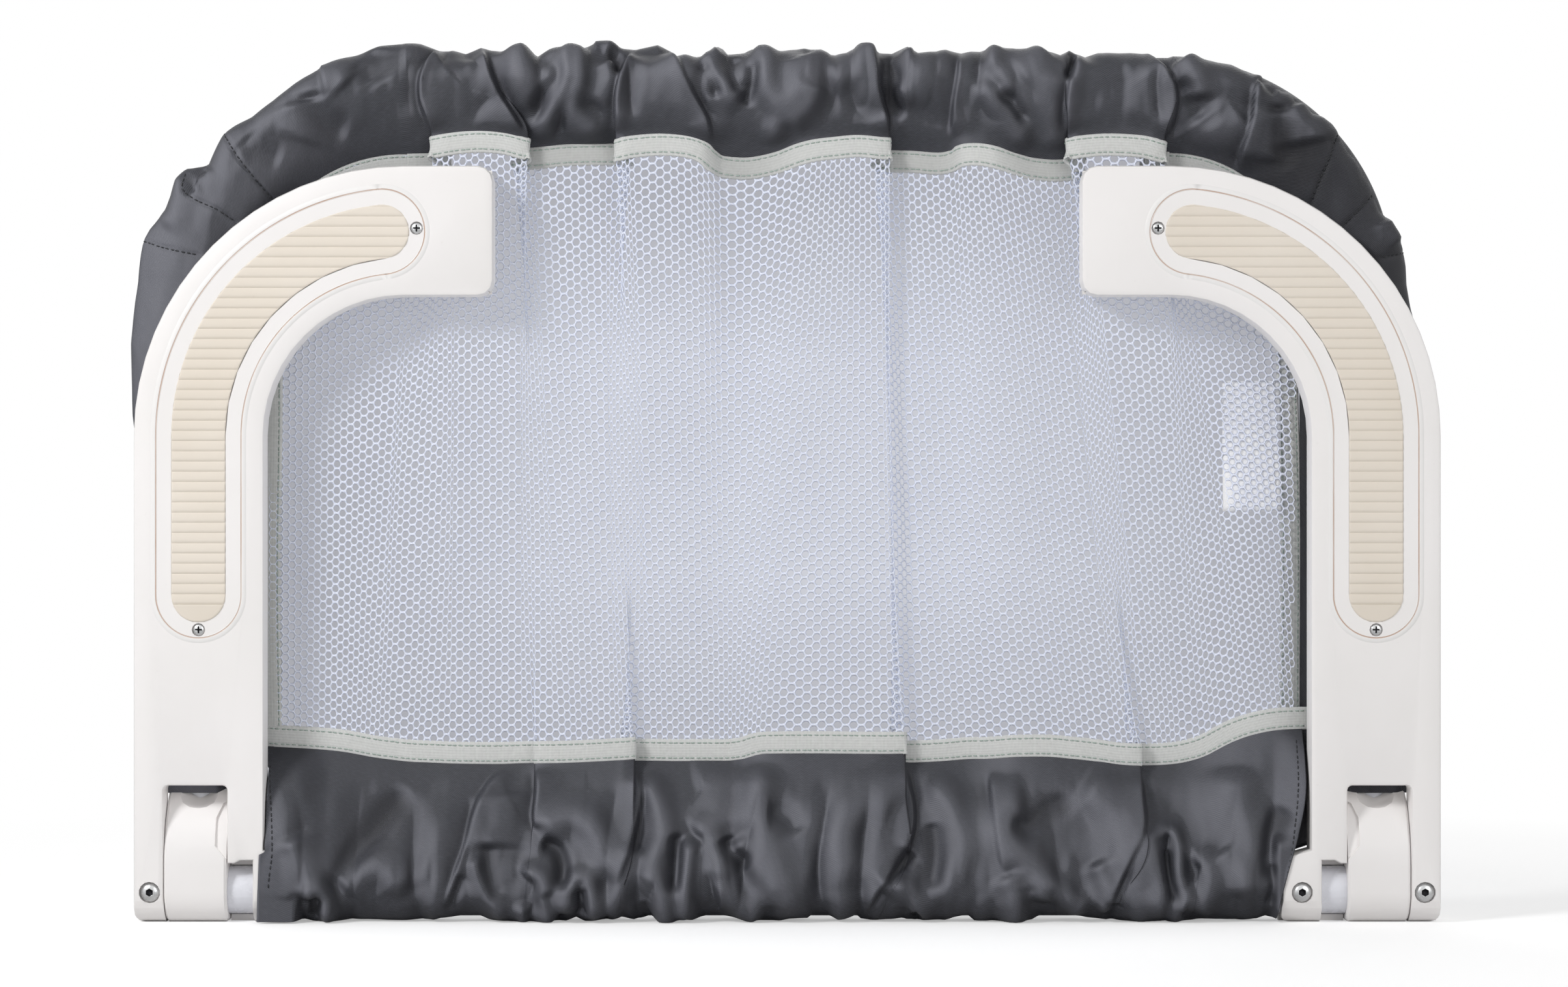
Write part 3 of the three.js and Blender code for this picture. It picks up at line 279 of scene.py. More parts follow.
def twill():
    """Dark grey twill: diagonal ribs, thread slubs, painted highlights on the crowns of the folds and painted
    shade in their valleys.
    """
    n = Nodes("twill")
    uv, along, _ = weave_of(n, 1250.0, 1250.0, 52.0)
    _, warp, weft = weave_of(n, 2600.0, 2600.0)
    stretched = n.add("ShaderNodeMapping", Vector=uv, Scale=(1.0, 6.0, 1.0)).outputs[0]
    slub = n.noise(stretched, 260.0, 3.0, 0.6)
    broad = n.noise(uv, 26.0, 3.0)
    rib = n.math("ADD", n.math("MULTIPLY", along, 0.5), 0.5)
    thread = n.math("MULTIPLY", n.math("ADD", warp, weft), 0.25)
    height = n.math("ADD", rib, n.math("MULTIPLY", thread, 0.4))
    height = n.math("ADD", height, n.math("MULTIPLY", slub, 0.7))
    base = n.mottle(rib, 0.15, 0.9, srgb(50, 51, 56), srgb(68, 69, 75))
    base = n.mix(n.ramp(slub, [(0.45, 0.0), (0.8, 0.5)]), base, srgb(86, 87, 94))
    base = n.mix(n.ramp(broad, [(0.35, 0.0), (0.75, 0.2)]), base, srgb(76, 77, 84))
    return n.finish(n.principled(
        Base_Color=painted_fold_light_and_shade(n, base),
        Roughness=n.ramp(slub, [(0.3, 0.46), (0.8, 0.56)]),
        Specular_IOR_Level=0.28,
        Sheen_Weight=0.05,
        Sheen_Roughness=0.4,
        Sheen_Tint=srgb(205, 208, 218),
        Normal=n.bump(height, 0.00012, 0.7),
    ))


def tape(name, light, dark):
    """Woven binding tape: fine cross ribs, and painted shade in depth along the top hem, where lugs shade it.
    """
    n = Nodes(name)
    uv, ribs, cords = weave_of(n, 1400.0, 700.0)
    slub = n.noise(uv, 420.0, 3.0, 0.6)
    broad = n.noise(uv, 30.0, 2.0)
    weave = n.math("ADD", ribs, n.math("MULTIPLY", cords, 0.5))
    height = n.math("ADD", n.math("MULTIPLY", weave, 0.35), slub)
    base = n.mix(n.ramp(height, [(0.1, 1.0), (0.75, 0.0)]), light, dark)
    base = n.mix(n.ramp(broad, [(0.4, 0.0), (0.8, 0.3)]), base, dark)
    # Painted shade: the top tape darkens the deeper it lies.
    place = n.add("ShaderNodeSeparateXYZ", Vector=place_of(n))
    high = n.ramp(place.outputs[2], [(0.36, 0.0), (0.38, 1.0)])
    deep = n.math("ADD", n.math("MULTIPLY", place.outputs[1], 60.0), 0.5)
    painted_shade = n.math("MULTIPLY", n.ramp(deep, [(0.3, 0.0), (0.9, 0.45)]), high)
    return n.finish(n.principled(
        Base_Color=n.mix(painted_shade, base, dimmed(dark, 0.55, 0.55, 0.55)),
        Roughness=0.72,
        Specular_IOR_Level=0.3,
        Sheen_Weight=0.2,
        Normal=n.bump(height, 0.00014, 0.7),
    ))


def yarn(name, light, dark, rough, pitch=900.0):
    """Round yarn or thread: short oblique plies."""
    n = Nodes(name)
    at = place_of(n)
    turned = n.add("ShaderNodeMapping", Vector=at, Rotation=(0.3, 0.7, 0.5)).outputs[0]
    bands = n.add("ShaderNodeTexWave", wave_type="BANDS", Vector=turned, Scale=pitch / 3.14)
    n.put(bands, "Distortion", 1.5)
    n.put(bands, "Detail", 1.0)
    ply = bands.outputs[1]
    fuzz = n.noise(at, 1500.0, 2.0)
    base = n.mix(ply, dark, light)
    return n.finish(n.principled(
        Base_Color=n.mix(n.ramp(n.noise(at, 40.0), [(0.35, 0.0), (0.75, 0.3)]), base, dark),
        Roughness=rough,
        Specular_IOR_Level=0.4,
        Normal=n.bump(n.math("ADD", ply, fuzz), 0.00006, 0.5),
    ))


def label_cloth():
    """Thin white satin that some light passes through."""
    n = Nodes("label_satin")
    uv, warp, weft = weave_of(n, 2200.0, 1100.0)
    colour = n.mottle(n.noise(uv, 60.0, 3.0), 0.35, 0.75, srgb(254, 254, 255), srgb(248, 249, 255))
    weave = n.bump(n.math("ADD", warp, weft), 0.00004, 0.5)
    satin = n.principled(Base_Color=colour, Roughness=0.42, Sheen_Weight=0.15, Normal=weave)
    through = n.add("ShaderNodeBsdfTranslucent", Color=colour)
    return n.finish(n.blend(0.12, satin, through.outputs[0]))


CREAM = plastic("cream_moulding", srgb(246, 243, 242), srgb(242, 239, 237), 0.42, 0.00004, coat=0.05)
RUBBER = plastic("grip_moulding", srgb(232, 223, 211), srgb(226, 216, 202), 0.62, 0.00007, tint=0.1)
SEAM = seam_plastic()
BUSH = plastic("bush_moulding", srgb(214, 215, 217), srgb(203, 204, 207), 0.5, 0.00005)
TUBE = painted_tube()
BARE = metal("bare_steel", srgb(196, 198, 202), 0.3, (400.0, 8.0, 8.0))
ZINC = metal("zinc_plate", srgb(206, 207, 208), 0.3)
PAINTED_SOCKET_SHADE = metal("socket_shade", srgb(52, 52, 55), 0.6)
TWILL = twill()
TAPE = tape("binding_weave", srgb(220, 221, 219), srgb(198, 199, 197))
NET = yarn("net_yarn", srgb(243, 247, 255), srgb(225, 231, 252), 0.5)
MINT = yarn("stitch_mint", srgb(188, 204, 195), srgb(140, 155, 147), 0.5, 1800.0)
DARK_THREAD = yarn("stitch_dark", srgb(44, 45, 48), srgb(26, 27, 30), 0.55, 1800.0)
LABEL = label_cloth()

BY_SLOT = {
    "cream_plastic": CREAM,
    "grip_rubber": RUBBER,
    "white_tube": TUBE,
    "bare_tube": BARE,
    "zinc": ZINC,
    "bush_plastic": BUSH,
    "grey_twill": TWILL,
    "binding_tape": TAPE,
    "white_mesh": NET,
    "label_cloth": LABEL,
}

for node in NODES.values():
    slots = node.data.materials
    for i, old in enumerate(list(slots)):
        slots[i] = BY_SLOT[old.name.split(".")[0]]


# Camera, light and floor


def photo_camera():
    """The photo's view: level, from in front, with the rail filling the width."""
    data = bpy.data.cameras.new("camera")
    data.sensor_width = 36.0
    data.lens = 89.25
    data.clip_start = 0.05
    data.clip_end = 40.0
    camera = bpy.data.objects.new("camera", data)
    camera.location = (-0.0017, -2.023, 0.2213)
    camera.rotation_euler = (math.radians(90), 0, 0)
    bpy.context.collection.objects.link(camera)
    bpy.context.scene.camera = camera


def studio_world():
    """White where the background is seen, mirrored or seen through something, and dim as a light."""
    world = bpy.data.worlds.new("studio")
    world.use_nodes = True
    bpy.context.scene.world = world
    tree = world.node_tree
    tree.nodes.clear()
    ray = tree.nodes.new("ShaderNodeLightPath")
    shown = ray.outputs["Is Camera Ray"]
    for also in ("Is Glossy Ray", "Is Transmission Ray"):
        most = tree.nodes.new("ShaderNodeMath")
        most.operation = "MAXIMUM"
        tree.links.new(shown, most.inputs[0])
        tree.links.new(ray.outputs[also], most.inputs[1])
        shown = most.outputs[0]
    either = tree.nodes.new("ShaderNodeMixShader")
    tree.links.new(shown, either.inputs[0])
    for socket, strength in ((1, 0.34), (2, 1.0)):
        plain = tree.nodes.new("ShaderNodeBackground")
        plain.inputs[0].default_value = (1, 1, 1, 1)
        plain.inputs[1].default_value = strength
        tree.links.new(plain.outputs[0], either.inputs[socket])
    last = tree.nodes.new("ShaderNodeOutputWorld")
    tree.links.new(either.outputs[0], last.inputs[0])


def area_light(name, place, aim, power, wide, tall):
    data = bpy.data.lights.new(name, "AREA")
    data.energy = power
    data.shape = "RECTANGLE"
    data.size = wide
    data.size_y = tall
    lamp = bpy.data.objects.new(name, data)
    lamp.location = place
    lamp.rotation_euler = (Vector(aim) - Vector(place)).to_track_quat("-Z", "Y").to_euler()
    bpy.context.collection.objects.link(lamp)


def floor():
    """A pale floor that keeps the object's shadow and runs out to plain white round it."""
    white = (1, 1, 1, 1)
    n = Nodes("floor_card")
    seen = n.add("ShaderNodeLightPath").outputs["Is Camera Ray"]
    at = place_of(n)
    pale = n.mottle(n.noise(at, 3.0), 0.3, 0.7, (0.86, 0.86, 0.86, 1), (0.84, 0.84, 0.84, 1))
    matte = n.add("ShaderNodeBsdfDiffuse", Color=pale)
    near = n.add("ShaderNodeAddShader")
    n.put(near, 0, matte.outputs[0])
    n.put(near, 1, n.glow(white, n.math("MULTIPLY", seen, 0.36)))
    length = n.add("ShaderNodeVectorMath", operation="LENGTH")
    n.put(length, 0, at)
    far = n.math("MULTIPLY", n.ramp(length.outputs["Value"], [(0.45, 0.0), (0.8, 1.0)]), seen)
    mat = n.finish(n.blend(far, near.outputs[0], n.glow(white, 1.0)))
    mesh = bpy.data.meshes.new("floor")
    mesh.from_pydata([(-6, -4, 0), (6, -4, 0), (6, 8, 0), (-6, 8, 0)], [], [(0, 1, 2, 3)])
    mesh.materials.append(mat)
    obj = bpy.data.objects.new("floor", mesh)
    bpy.context.collection.objects.link(obj)


photo_camera()
studio_world()
area_light("key", (-1.25, -1.15, 1.25), (0, 0, 0.2), 19.0, 0.45, 0.45)
area_light("fill", (1.3, -1.5, 0.8), (0, 0, 0.2), 9.0, 1.2, 1.2)
area_light("rim", (0.2, 1.1, 1.2), (0, 0, 0.25), 6.0, 1.4, 0.7)
floor()
bpy.context.scene.view_settings.view_transform = "Standard"


# Curves, grids and meshes


def step(a, b, v):
    """0 up to a, 1 from b on, and smooth between them."""
    t = np.clip((np.asarray(v, float) - a) / (b - a), 0, 1)
    return t * t * (3 - 2 * t)


def norm(v):
    return v / np.maximum(np.linalg.norm(v, axis=-1), 1e-9)[..., None]


def run_of(path):
    """Length along a path, at each of its points."""
    return np.concatenate([[0], np.cumsum(np.linalg.norm(np.diff(path, axis=0), axis=1))])


def tangents(points, knots):
    gap = np.diff(knots)
    slope = np.diff(points, axis=0) / gap[:, None]
    out = np.empty_like(points)
    out[1:-1] = (slope[:-1] * gap[1:, None] + slope[1:] * gap[:-1, None]) / (gap[1:] + gap[:-1])[:, None]
    out[0], out[-1] = slope[0], slope[-1]
    return out


def spline(points, knots, at):
    """A smooth curve through rows of values; turning points keep their place."""
    points = np.asarray(points, float)
    at = np.clip(at, knots[0], knots[-1])
    i = np.clip(np.searchsorted(knots, at, side="right") - 1, 0, len(knots) - 2)
    gap = (knots[i + 1] - knots[i])[:, None]
    t = ((at - knots[i])[:, None]) / gap
    m = tangents(points, knots)
    return (
        (2 * t**3 - 3 * t**2 + 1) * points[i]
        + (t**3 - 2 * t**2 + t) * gap * m[i]
        + (3 * t**2 - 2 * t**3) * points[i + 1]
        + (t**3 - t**2) * gap * m[i + 1]
    )


def smooth_path(points, pitch=1.0):
    """A curve through points, sampled evenly by length."""
    points = np.asarray(points, float)
    knots = np.concatenate([[0], np.cumsum(np.linalg.norm(np.diff(points, axis=0), axis=1) ** 0.5)])
    dense = spline(points, knots, np.linspace(0, knots[-1], 40 * len(points)))
    length = run_of(dense)
    at = np.linspace(0, length[-1], max(2, int(round(length[-1] / pitch)) + 1))
    return np.stack([np.interp(at, length, dense[:, k]) for k in range(dense.shape[1])], axis=1)


def turn_outward(mesh):
    """Face normals of a closed mesh turned outward."""
    shell = bmesh.new()
    shell.from_mesh(mesh)
    bmesh.ops.recalc_face_normals(shell, faces=shell.faces)
    shell.to_mesh(mesh)
    shell.free()


def make(name, verts, faces, mat, body=None, uv=None, closed=False, relief=None):
    """A mesh from millimetre points, hinge-relative in y, with cloth coordinates in metres."""
    verts = np.array(verts, float).reshape(-1, 3)
    verts[:, 1] -= DEPTH
    verts /= 1000.0
    mesh = bpy.data.meshes.new(name)
    if isinstance(faces, np.ndarray):
        count, side = faces.shape
        mesh.vertices.add(len(verts))
        mesh.vertices.foreach_set("co", verts.ravel())
        mesh.loops.add(count * side)
        mesh.loops.foreach_set("vertex_index", faces.ravel().astype(np.int32))
        mesh.polygons.add(count)
        mesh.polygons.foreach_set("loop_start", np.arange(0, count * side, side, dtype=np.int32))
        mesh.polygons.foreach_set("loop_total", np.full(count, side, dtype=np.int32))
        mesh.update(calc_edges=True)
        mesh.validate()
    else:
        mesh.from_pydata(verts.tolist(), [], [tuple(int(v) for v in f) for f in faces])
        mesh.update()
    if uv is not None:
        layer = mesh.uv_layers.new(name="cloth")
        index = np.empty(len(mesh.loops), dtype=np.int32)
        mesh.loops.foreach_get("vertex_index", index)
        layer.data.foreach_set("uv", (np.asarray(uv, float).reshape(-1, 2)[index] / 1000.0).ravel())
    if relief is not None:
        height = mesh.attributes.new("relief", "FLOAT", "POINT")
        height.data.foreach_set("value", np.ravel(relief).astype(np.float32))
    if closed:
        turn_outward(mesh)
    mesh.polygons.foreach_set("use_smooth", [True] * len(mesh.polygons))
    mesh.materials.append(mat)
    obj = bpy.data.objects.new(name, mesh)
    bpy.context.collection.objects.link(obj)
    if body:
        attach(obj, body)
    return obj


def grid_faces(rows, cols, wrap=False):
    r, c = np.meshgrid(np.arange(rows - 1), np.arange(cols if wrap else cols - 1), indexing="ij")
    r, c = r.ravel(), c.ravel()
    d = (c + 1) % cols
    return np.stack([r * cols + c, (r + 1) * cols + c, (r + 1) * cols + d, r * cols + d], axis=1)


def solid_faces(rows, cols):
    """Faces of a closed grid whose columns run round, with an end face on its first and last row."""
    ends = [tuple(range(cols)), tuple((rows - 1) * cols + k for k in range(cols))]
    return grid_faces(rows, cols, wrap=True).tolist() + ends


def cloth_uv(along, points):
    """Cloth coordinates of a grid of points: the length along it, and across it from its first column."""
    gaps = np.linalg.norm(np.diff(points, axis=1), axis=2)
    across = np.concatenate([np.zeros((len(points), 1)), np.cumsum(gaps, axis=1)], axis=1)
    return np.stack([np.broadcast_to(along[:, None], across.shape), across], axis=2)


def cut_of(points):
    """Width, length and area in metres of the cloth under a grid of points, measured along it."""
    across = np.linalg.norm(np.diff(points, axis=0), axis=2).sum(0).mean() / 1000
    down = np.linalg.norm(np.diff(points, axis=1), axis=2).sum(1).mean() / 1000
    one, two = points[1:, 1:] - points[:-1, :-1], points[1:, :-1] - points[:-1, 1:]
    area = 0.5 * np.linalg.norm(np.cross(one, two), axis=2).sum() / 1e6
    return float(across), float(down), float(area)


def lumps(x, y, z, size, seed):
    """Smooth value noise in numpy, about -1 to 1."""
    x = np.asarray(x, float) / size + seed * 17.3
    y = np.asarray(y, float) / size + seed * 5.1
    z = np.asarray(z, float) / size - seed * 9.7
    x, y, z = np.broadcast_arrays(x, y, z)
    xi, yi, zi = np.floor(x), np.floor(y), np.floor(z)
    fx, fy, fz = x - xi, y - yi, z - zi
    fx, fy, fz = fx * fx * (3 - 2 * fx), fy * fy * (3 - 2 * fy), fz * fz * (3 - 2 * fz)

    def corner(a, b, c):
        v = np.sin((xi + a) * 127.1 + (yi + b) * 311.7 + (zi + c) * 74.7) * 43758.5453
        return (v - np.floor(v)) * 2 - 1

    out = 0
    for a in (0, 1):
        for b in (0, 1):
            for c in (0, 1):
                w = (fx if a else 1 - fx) * (fy if b else 1 - fy) * (fz if c else 1 - fz)
                out = out + w * corner(a, b, c)
    return out


# Pads, plate seams and screws of the legs

LEG_R = 139.0  # the leg's outer bend, round LEG_X and LEG_Z
LEG_X, LEG_Z = 197.5, 251.0
LEG_WIDE = 67.0
LEG_HEAD = 150.0  # x where its level upper end stops
MID_R = LEG_R - LEG_WIDE / 2
FACE = 1000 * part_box("right_leg_arm")[0][1] + DEPTH  # the leg's front face
PAD_HALF = 13.95
PAD_LOW = LEG_Z - 82.0  # centre of the pad's lower round end
PAD_TURN = math.radians(84.0)
PAD_MID = LEG_X + MID_R
PAD_END_X = LEG_X + MID_R * math.cos(PAD_TURN)
PAD_END_Z = LEG_Z + MID_R * math.sin(PAD_TURN)
RIB_PITCH, RIB_DEPTH = 5.25, 0.65
RIB_FIRST = 164.2  # height of the lowest rib's line
RIB_CREST = 0.27  # share of the pitch from a line up to the rib's crest


def pad_span(z):
    """Where the pad begins and ends in x at height z, on the right-hand leg."""
    if z <= PAD_LOW:
        reach = math.sqrt(max(PAD_HALF**2 - (PAD_LOW - z) ** 2, 0.0))
        return PAD_MID - reach, PAD_MID + reach
    if z <= LEG_Z:
        return PAD_MID - PAD_HALF, PAD_MID + PAD_HALF
    rise = z - LEG_Z
    chord = math.sqrt(max(PAD_HALF**2 - (z - PAD_END_Z) ** 2, 0.0))
    inner, outer = MID_R - PAD_HALF, MID_R + PAD_HALF
    left, right = PAD_END_X - chord, PAD_END_X + chord
    if rise < inner * math.sin(PAD_TURN):
        left = LEG_X + math.sqrt(inner**2 - rise**2)
    if rise < outer * math.sin(PAD_TURN):
        right = LEG_X + math.sqrt(outer**2 - rise**2)
    return left, right


def pad_inset(x, z):
    """How far points of the front view lie inside the pad's edge."""
    if z <= PAD_LOW:
        return PAD_HALF - np.hypot(x - PAD_MID, z - PAD_LOW)
    if z <= LEG_Z:
        return PAD_HALF - np.abs(x - PAD_MID)
    rise = z - LEG_Z
    round_end = PAD_HALF - np.hypot(x - PAD_END_X, z - PAD_END_Z)
    band = PAD_HALF - np.abs(np.hypot(x - LEG_X, rise) - MID_R)
    return np.where(np.arctan2(rise, x - LEG_X) < PAD_TURN, band, round_end)


def rib_height(z):
    """A shingle-like rib: out quickly above each line, then gently back up to the next."""
    if z < RIB_FIRST:
        return 0.85
    u = (z - RIB_FIRST) / RIB_PITCH % 1.0
    if u < RIB_CREST:
        h = math.sin(math.pi / 2 * u / RIB_CREST)
    else:
        h = math.cos(math.pi / 2 * (u - RIB_CREST) / (1 - RIB_CREST)) ** 0.9
    groove = math.exp(-((min(u, 1 - u) / 0.03) ** 2))
    return h - 0.1 * groove


def grip_pad(side, name):
    """The ribbed rubber strip, as level rows from its lower end to its upper one."""
    low, high = PAD_LOW - PAD_HALF, PAD_END_Z + PAD_HALF
    steps = (0, 0.03, 0.09, 0.17, 0.27, 0.38, 0.5, 0.62, 0.74, 0.86, 0.94, 0.98)
    levels = list(np.linspace(low + 0.02, RIB_FIRST - 0.3, 14))
    line = RIB_FIRST
    while line < high:
        levels += [line + u * RIB_PITCH for u in steps if line + u * RIB_PITCH < high - 0.02]
        line += RIB_PITCH
    levels.append(high - 0.02)
    edge = [0, 0.004, 0.012, 0.024, 0.045, 0.08]
    far_edge = [0.92, 0.955, 0.976, 0.988, 0.996, 1]
    across = np.array(edge + list(np.linspace(0.14, 0.86, 13)) + far_edge)
    under = np.array([0.75, 0.5, 0.25])
    grid, cloth = [], []
    for z in levels:
        left, right = pad_span(z)
        x = left + (right - left) * across
        rim = np.clip(pad_inset(x, z) / 0.8, 0, 1)
        swell = np.sqrt(np.maximum(1 - (1 - rim) ** 2, 0))
        y = FACE + 0.1 - (0.2 + RIB_DEPTH * rib_height(z)) * swell
        x_back = left + (right - left) * under
        row_x = np.concatenate([x, x_back])
        row_y = np.concatenate([y, np.full(len(under), FACE + 1.3)])
        grid.append(np.stack([side * row_x, row_y, np.full(len(row_x), z)], axis=1))
        cloth.append(np.stack([row_x, np.full(len(row_x), z)], axis=1))
    grid = np.array(grid)
    faces = solid_faces(*grid.shape[:2])
    pad = make(name + "_pad_ribbed", grid, faces, RUBBER, name + "_leg", np.array(cloth), closed=True)
    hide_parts(name + "_grip_pad")


def band_ring(reach):
    """Points (x, z) round the pad at one reach from its middle line, on the right-hand leg."""
    turn = math.degrees(PAD_TURN)
    around = (
        (PAD_MID, PAD_LOW, reach, -180, 0, 28),
        (LEG_X, LEG_Z, MID_R + reach, 0, turn, 60),
        (PAD_END_X, PAD_END_Z, reach, turn, turn + 180, 28),
        (LEG_X, LEG_Z, MID_R - reach, turn, 0, 44),
    )
    ring = []
    for x, z, radius, start, stop, count in around:
        for a in np.radians(np.linspace(start, stop, count + 1)):
            ring.append((x + radius * math.cos(a), z + radius * math.sin(a)))
    return np.array(ring)


def plate_seam(side, name):
    """A slight swelling with the fine seam between plate and leg down its middle."""
    inner_side = ((21.32, 0.2), (21.36, -0.01), (21.62, -0.12), (21.74, -0.12))
    groove = ((21.8, -0.015), (22.1, -0.015))
    outer_side = ((22.16, -0.12), (22.5, -0.12), (24.6, -0.01), (24.8, 0.2))
    grid, cloth = [], []
    for reach, back in inner_side + groove + outer_side:
        ring = band_ring(reach)
        grid.append(np.stack([side * ring[:, 0], np.full(len(ring), FACE + back), ring[:, 1]], axis=1))
        cloth.append(np.stack([run_of(ring), np.full(len(ring), reach)], axis=1))
    grid = np.array(grid)
    rings, count = grid.shape[:2]
    faces = grid_faces(rings, count, wrap=True).tolist()
    last = (rings - 1) * count
    for k in range(count):
        after = (k + 1) % count
        faces.append((k, after, last + after, last + k))
    seam = make(name + "_plate_seam", grid, faces, SEAM, name + "_leg", np.array(cloth), closed=True)


def hex_edge(angle, across=3.6):
    """Reach of a hexagon socket's edge."""
    sixth = math.pi / 3
    return across / 2 / math.cos((angle + sixth / 2) % sixth - sixth / 2)


def cross_edge(angle, arm=1.8, half=0.42):
    """Reach of a cross recess's edge."""
    quarter = math.pi / 2
    off = abs((angle + quarter / 2) % quarter - quarter / 2)
    return min(arm / math.cos(off), half / max(math.sin(off), 1e-6))


def screw(node, body, edge, depth, taper, head, shank):
    """A domed screw in the place of its CAD node, with a driver recess of the given edge."""
    low, high = (1000 * np.array(corner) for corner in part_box(node))
    x, z, radius = (low[0] + high[0]) / 2, (low[2] + high[2]) / 2, (high[0] - low[0]) / 2
    top, length = low[1] + DEPTH, high[1] - low[1]
    turns = np.linspace(0, 2 * math.pi, 96, endpoint=False)
    rim = np.array([edge(a) for a in turns])

    def dome(r):
        return head * (1 - np.sqrt(1 - 0.9 * (r / radius) ** 2))

    recess = [(rim * 0.02, depth), (rim * taper, depth), (rim * 0.98, depth / 2)]
    rings = recess + [(rim, dome(rim) + 0.03)]
    for share in (0.04, 0.2, 0.4, 0.6, 0.78, 0.9, 0.97, 1.0):
        r = rim + (radius - rim) * share
        rings.append((r, dome(r)))
    rings += [(radius, head), (shank / 2, head), (shank / 2, length), (0.02, length)]
    grid = []
    for r, y in rings:
        grid.append(np.stack([x + r * np.cos(turns), top + y + 0 * turns, z + r * np.sin(turns)], axis=1))
    grid = np.array(grid)
    piece = make(node + "_turned", grid, solid_faces(*grid.shape[:2]), ZINC, body, closed=True)
    # The recess gets painted shade: a dark metal for the shade inside the hollow.
    piece.data.materials.append(PAINTED_SOCKET_SHADE)
    for face in piece.data.polygons[: len(recess) * len(turns)]:
        face.material_index = 1
    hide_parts(node)


for side, name in ((-1, "left"), (1, "right")):
    grip_pad(side, name)
    plate_seam(side, name)
    for k in (1, 2):
        screw(f"{name}_hinge_bolt_{k}", name + "_leg", hex_edge, 2.0, 0.96, 3.2, 6.0)
        screw(f"{name}_pad_screw_{k}", name + "_leg", cross_edge, 1.1, 0.5, 1.5, 3.0)


# Folds of the cover, measured along the photo's own fold lines
# Each fold is (kind, height, width, path). Kind "+" is a ridge and "-" a hollow,
# "R" or "L" is a step that stands proud on its right or left, and "s" is a sewn seam.

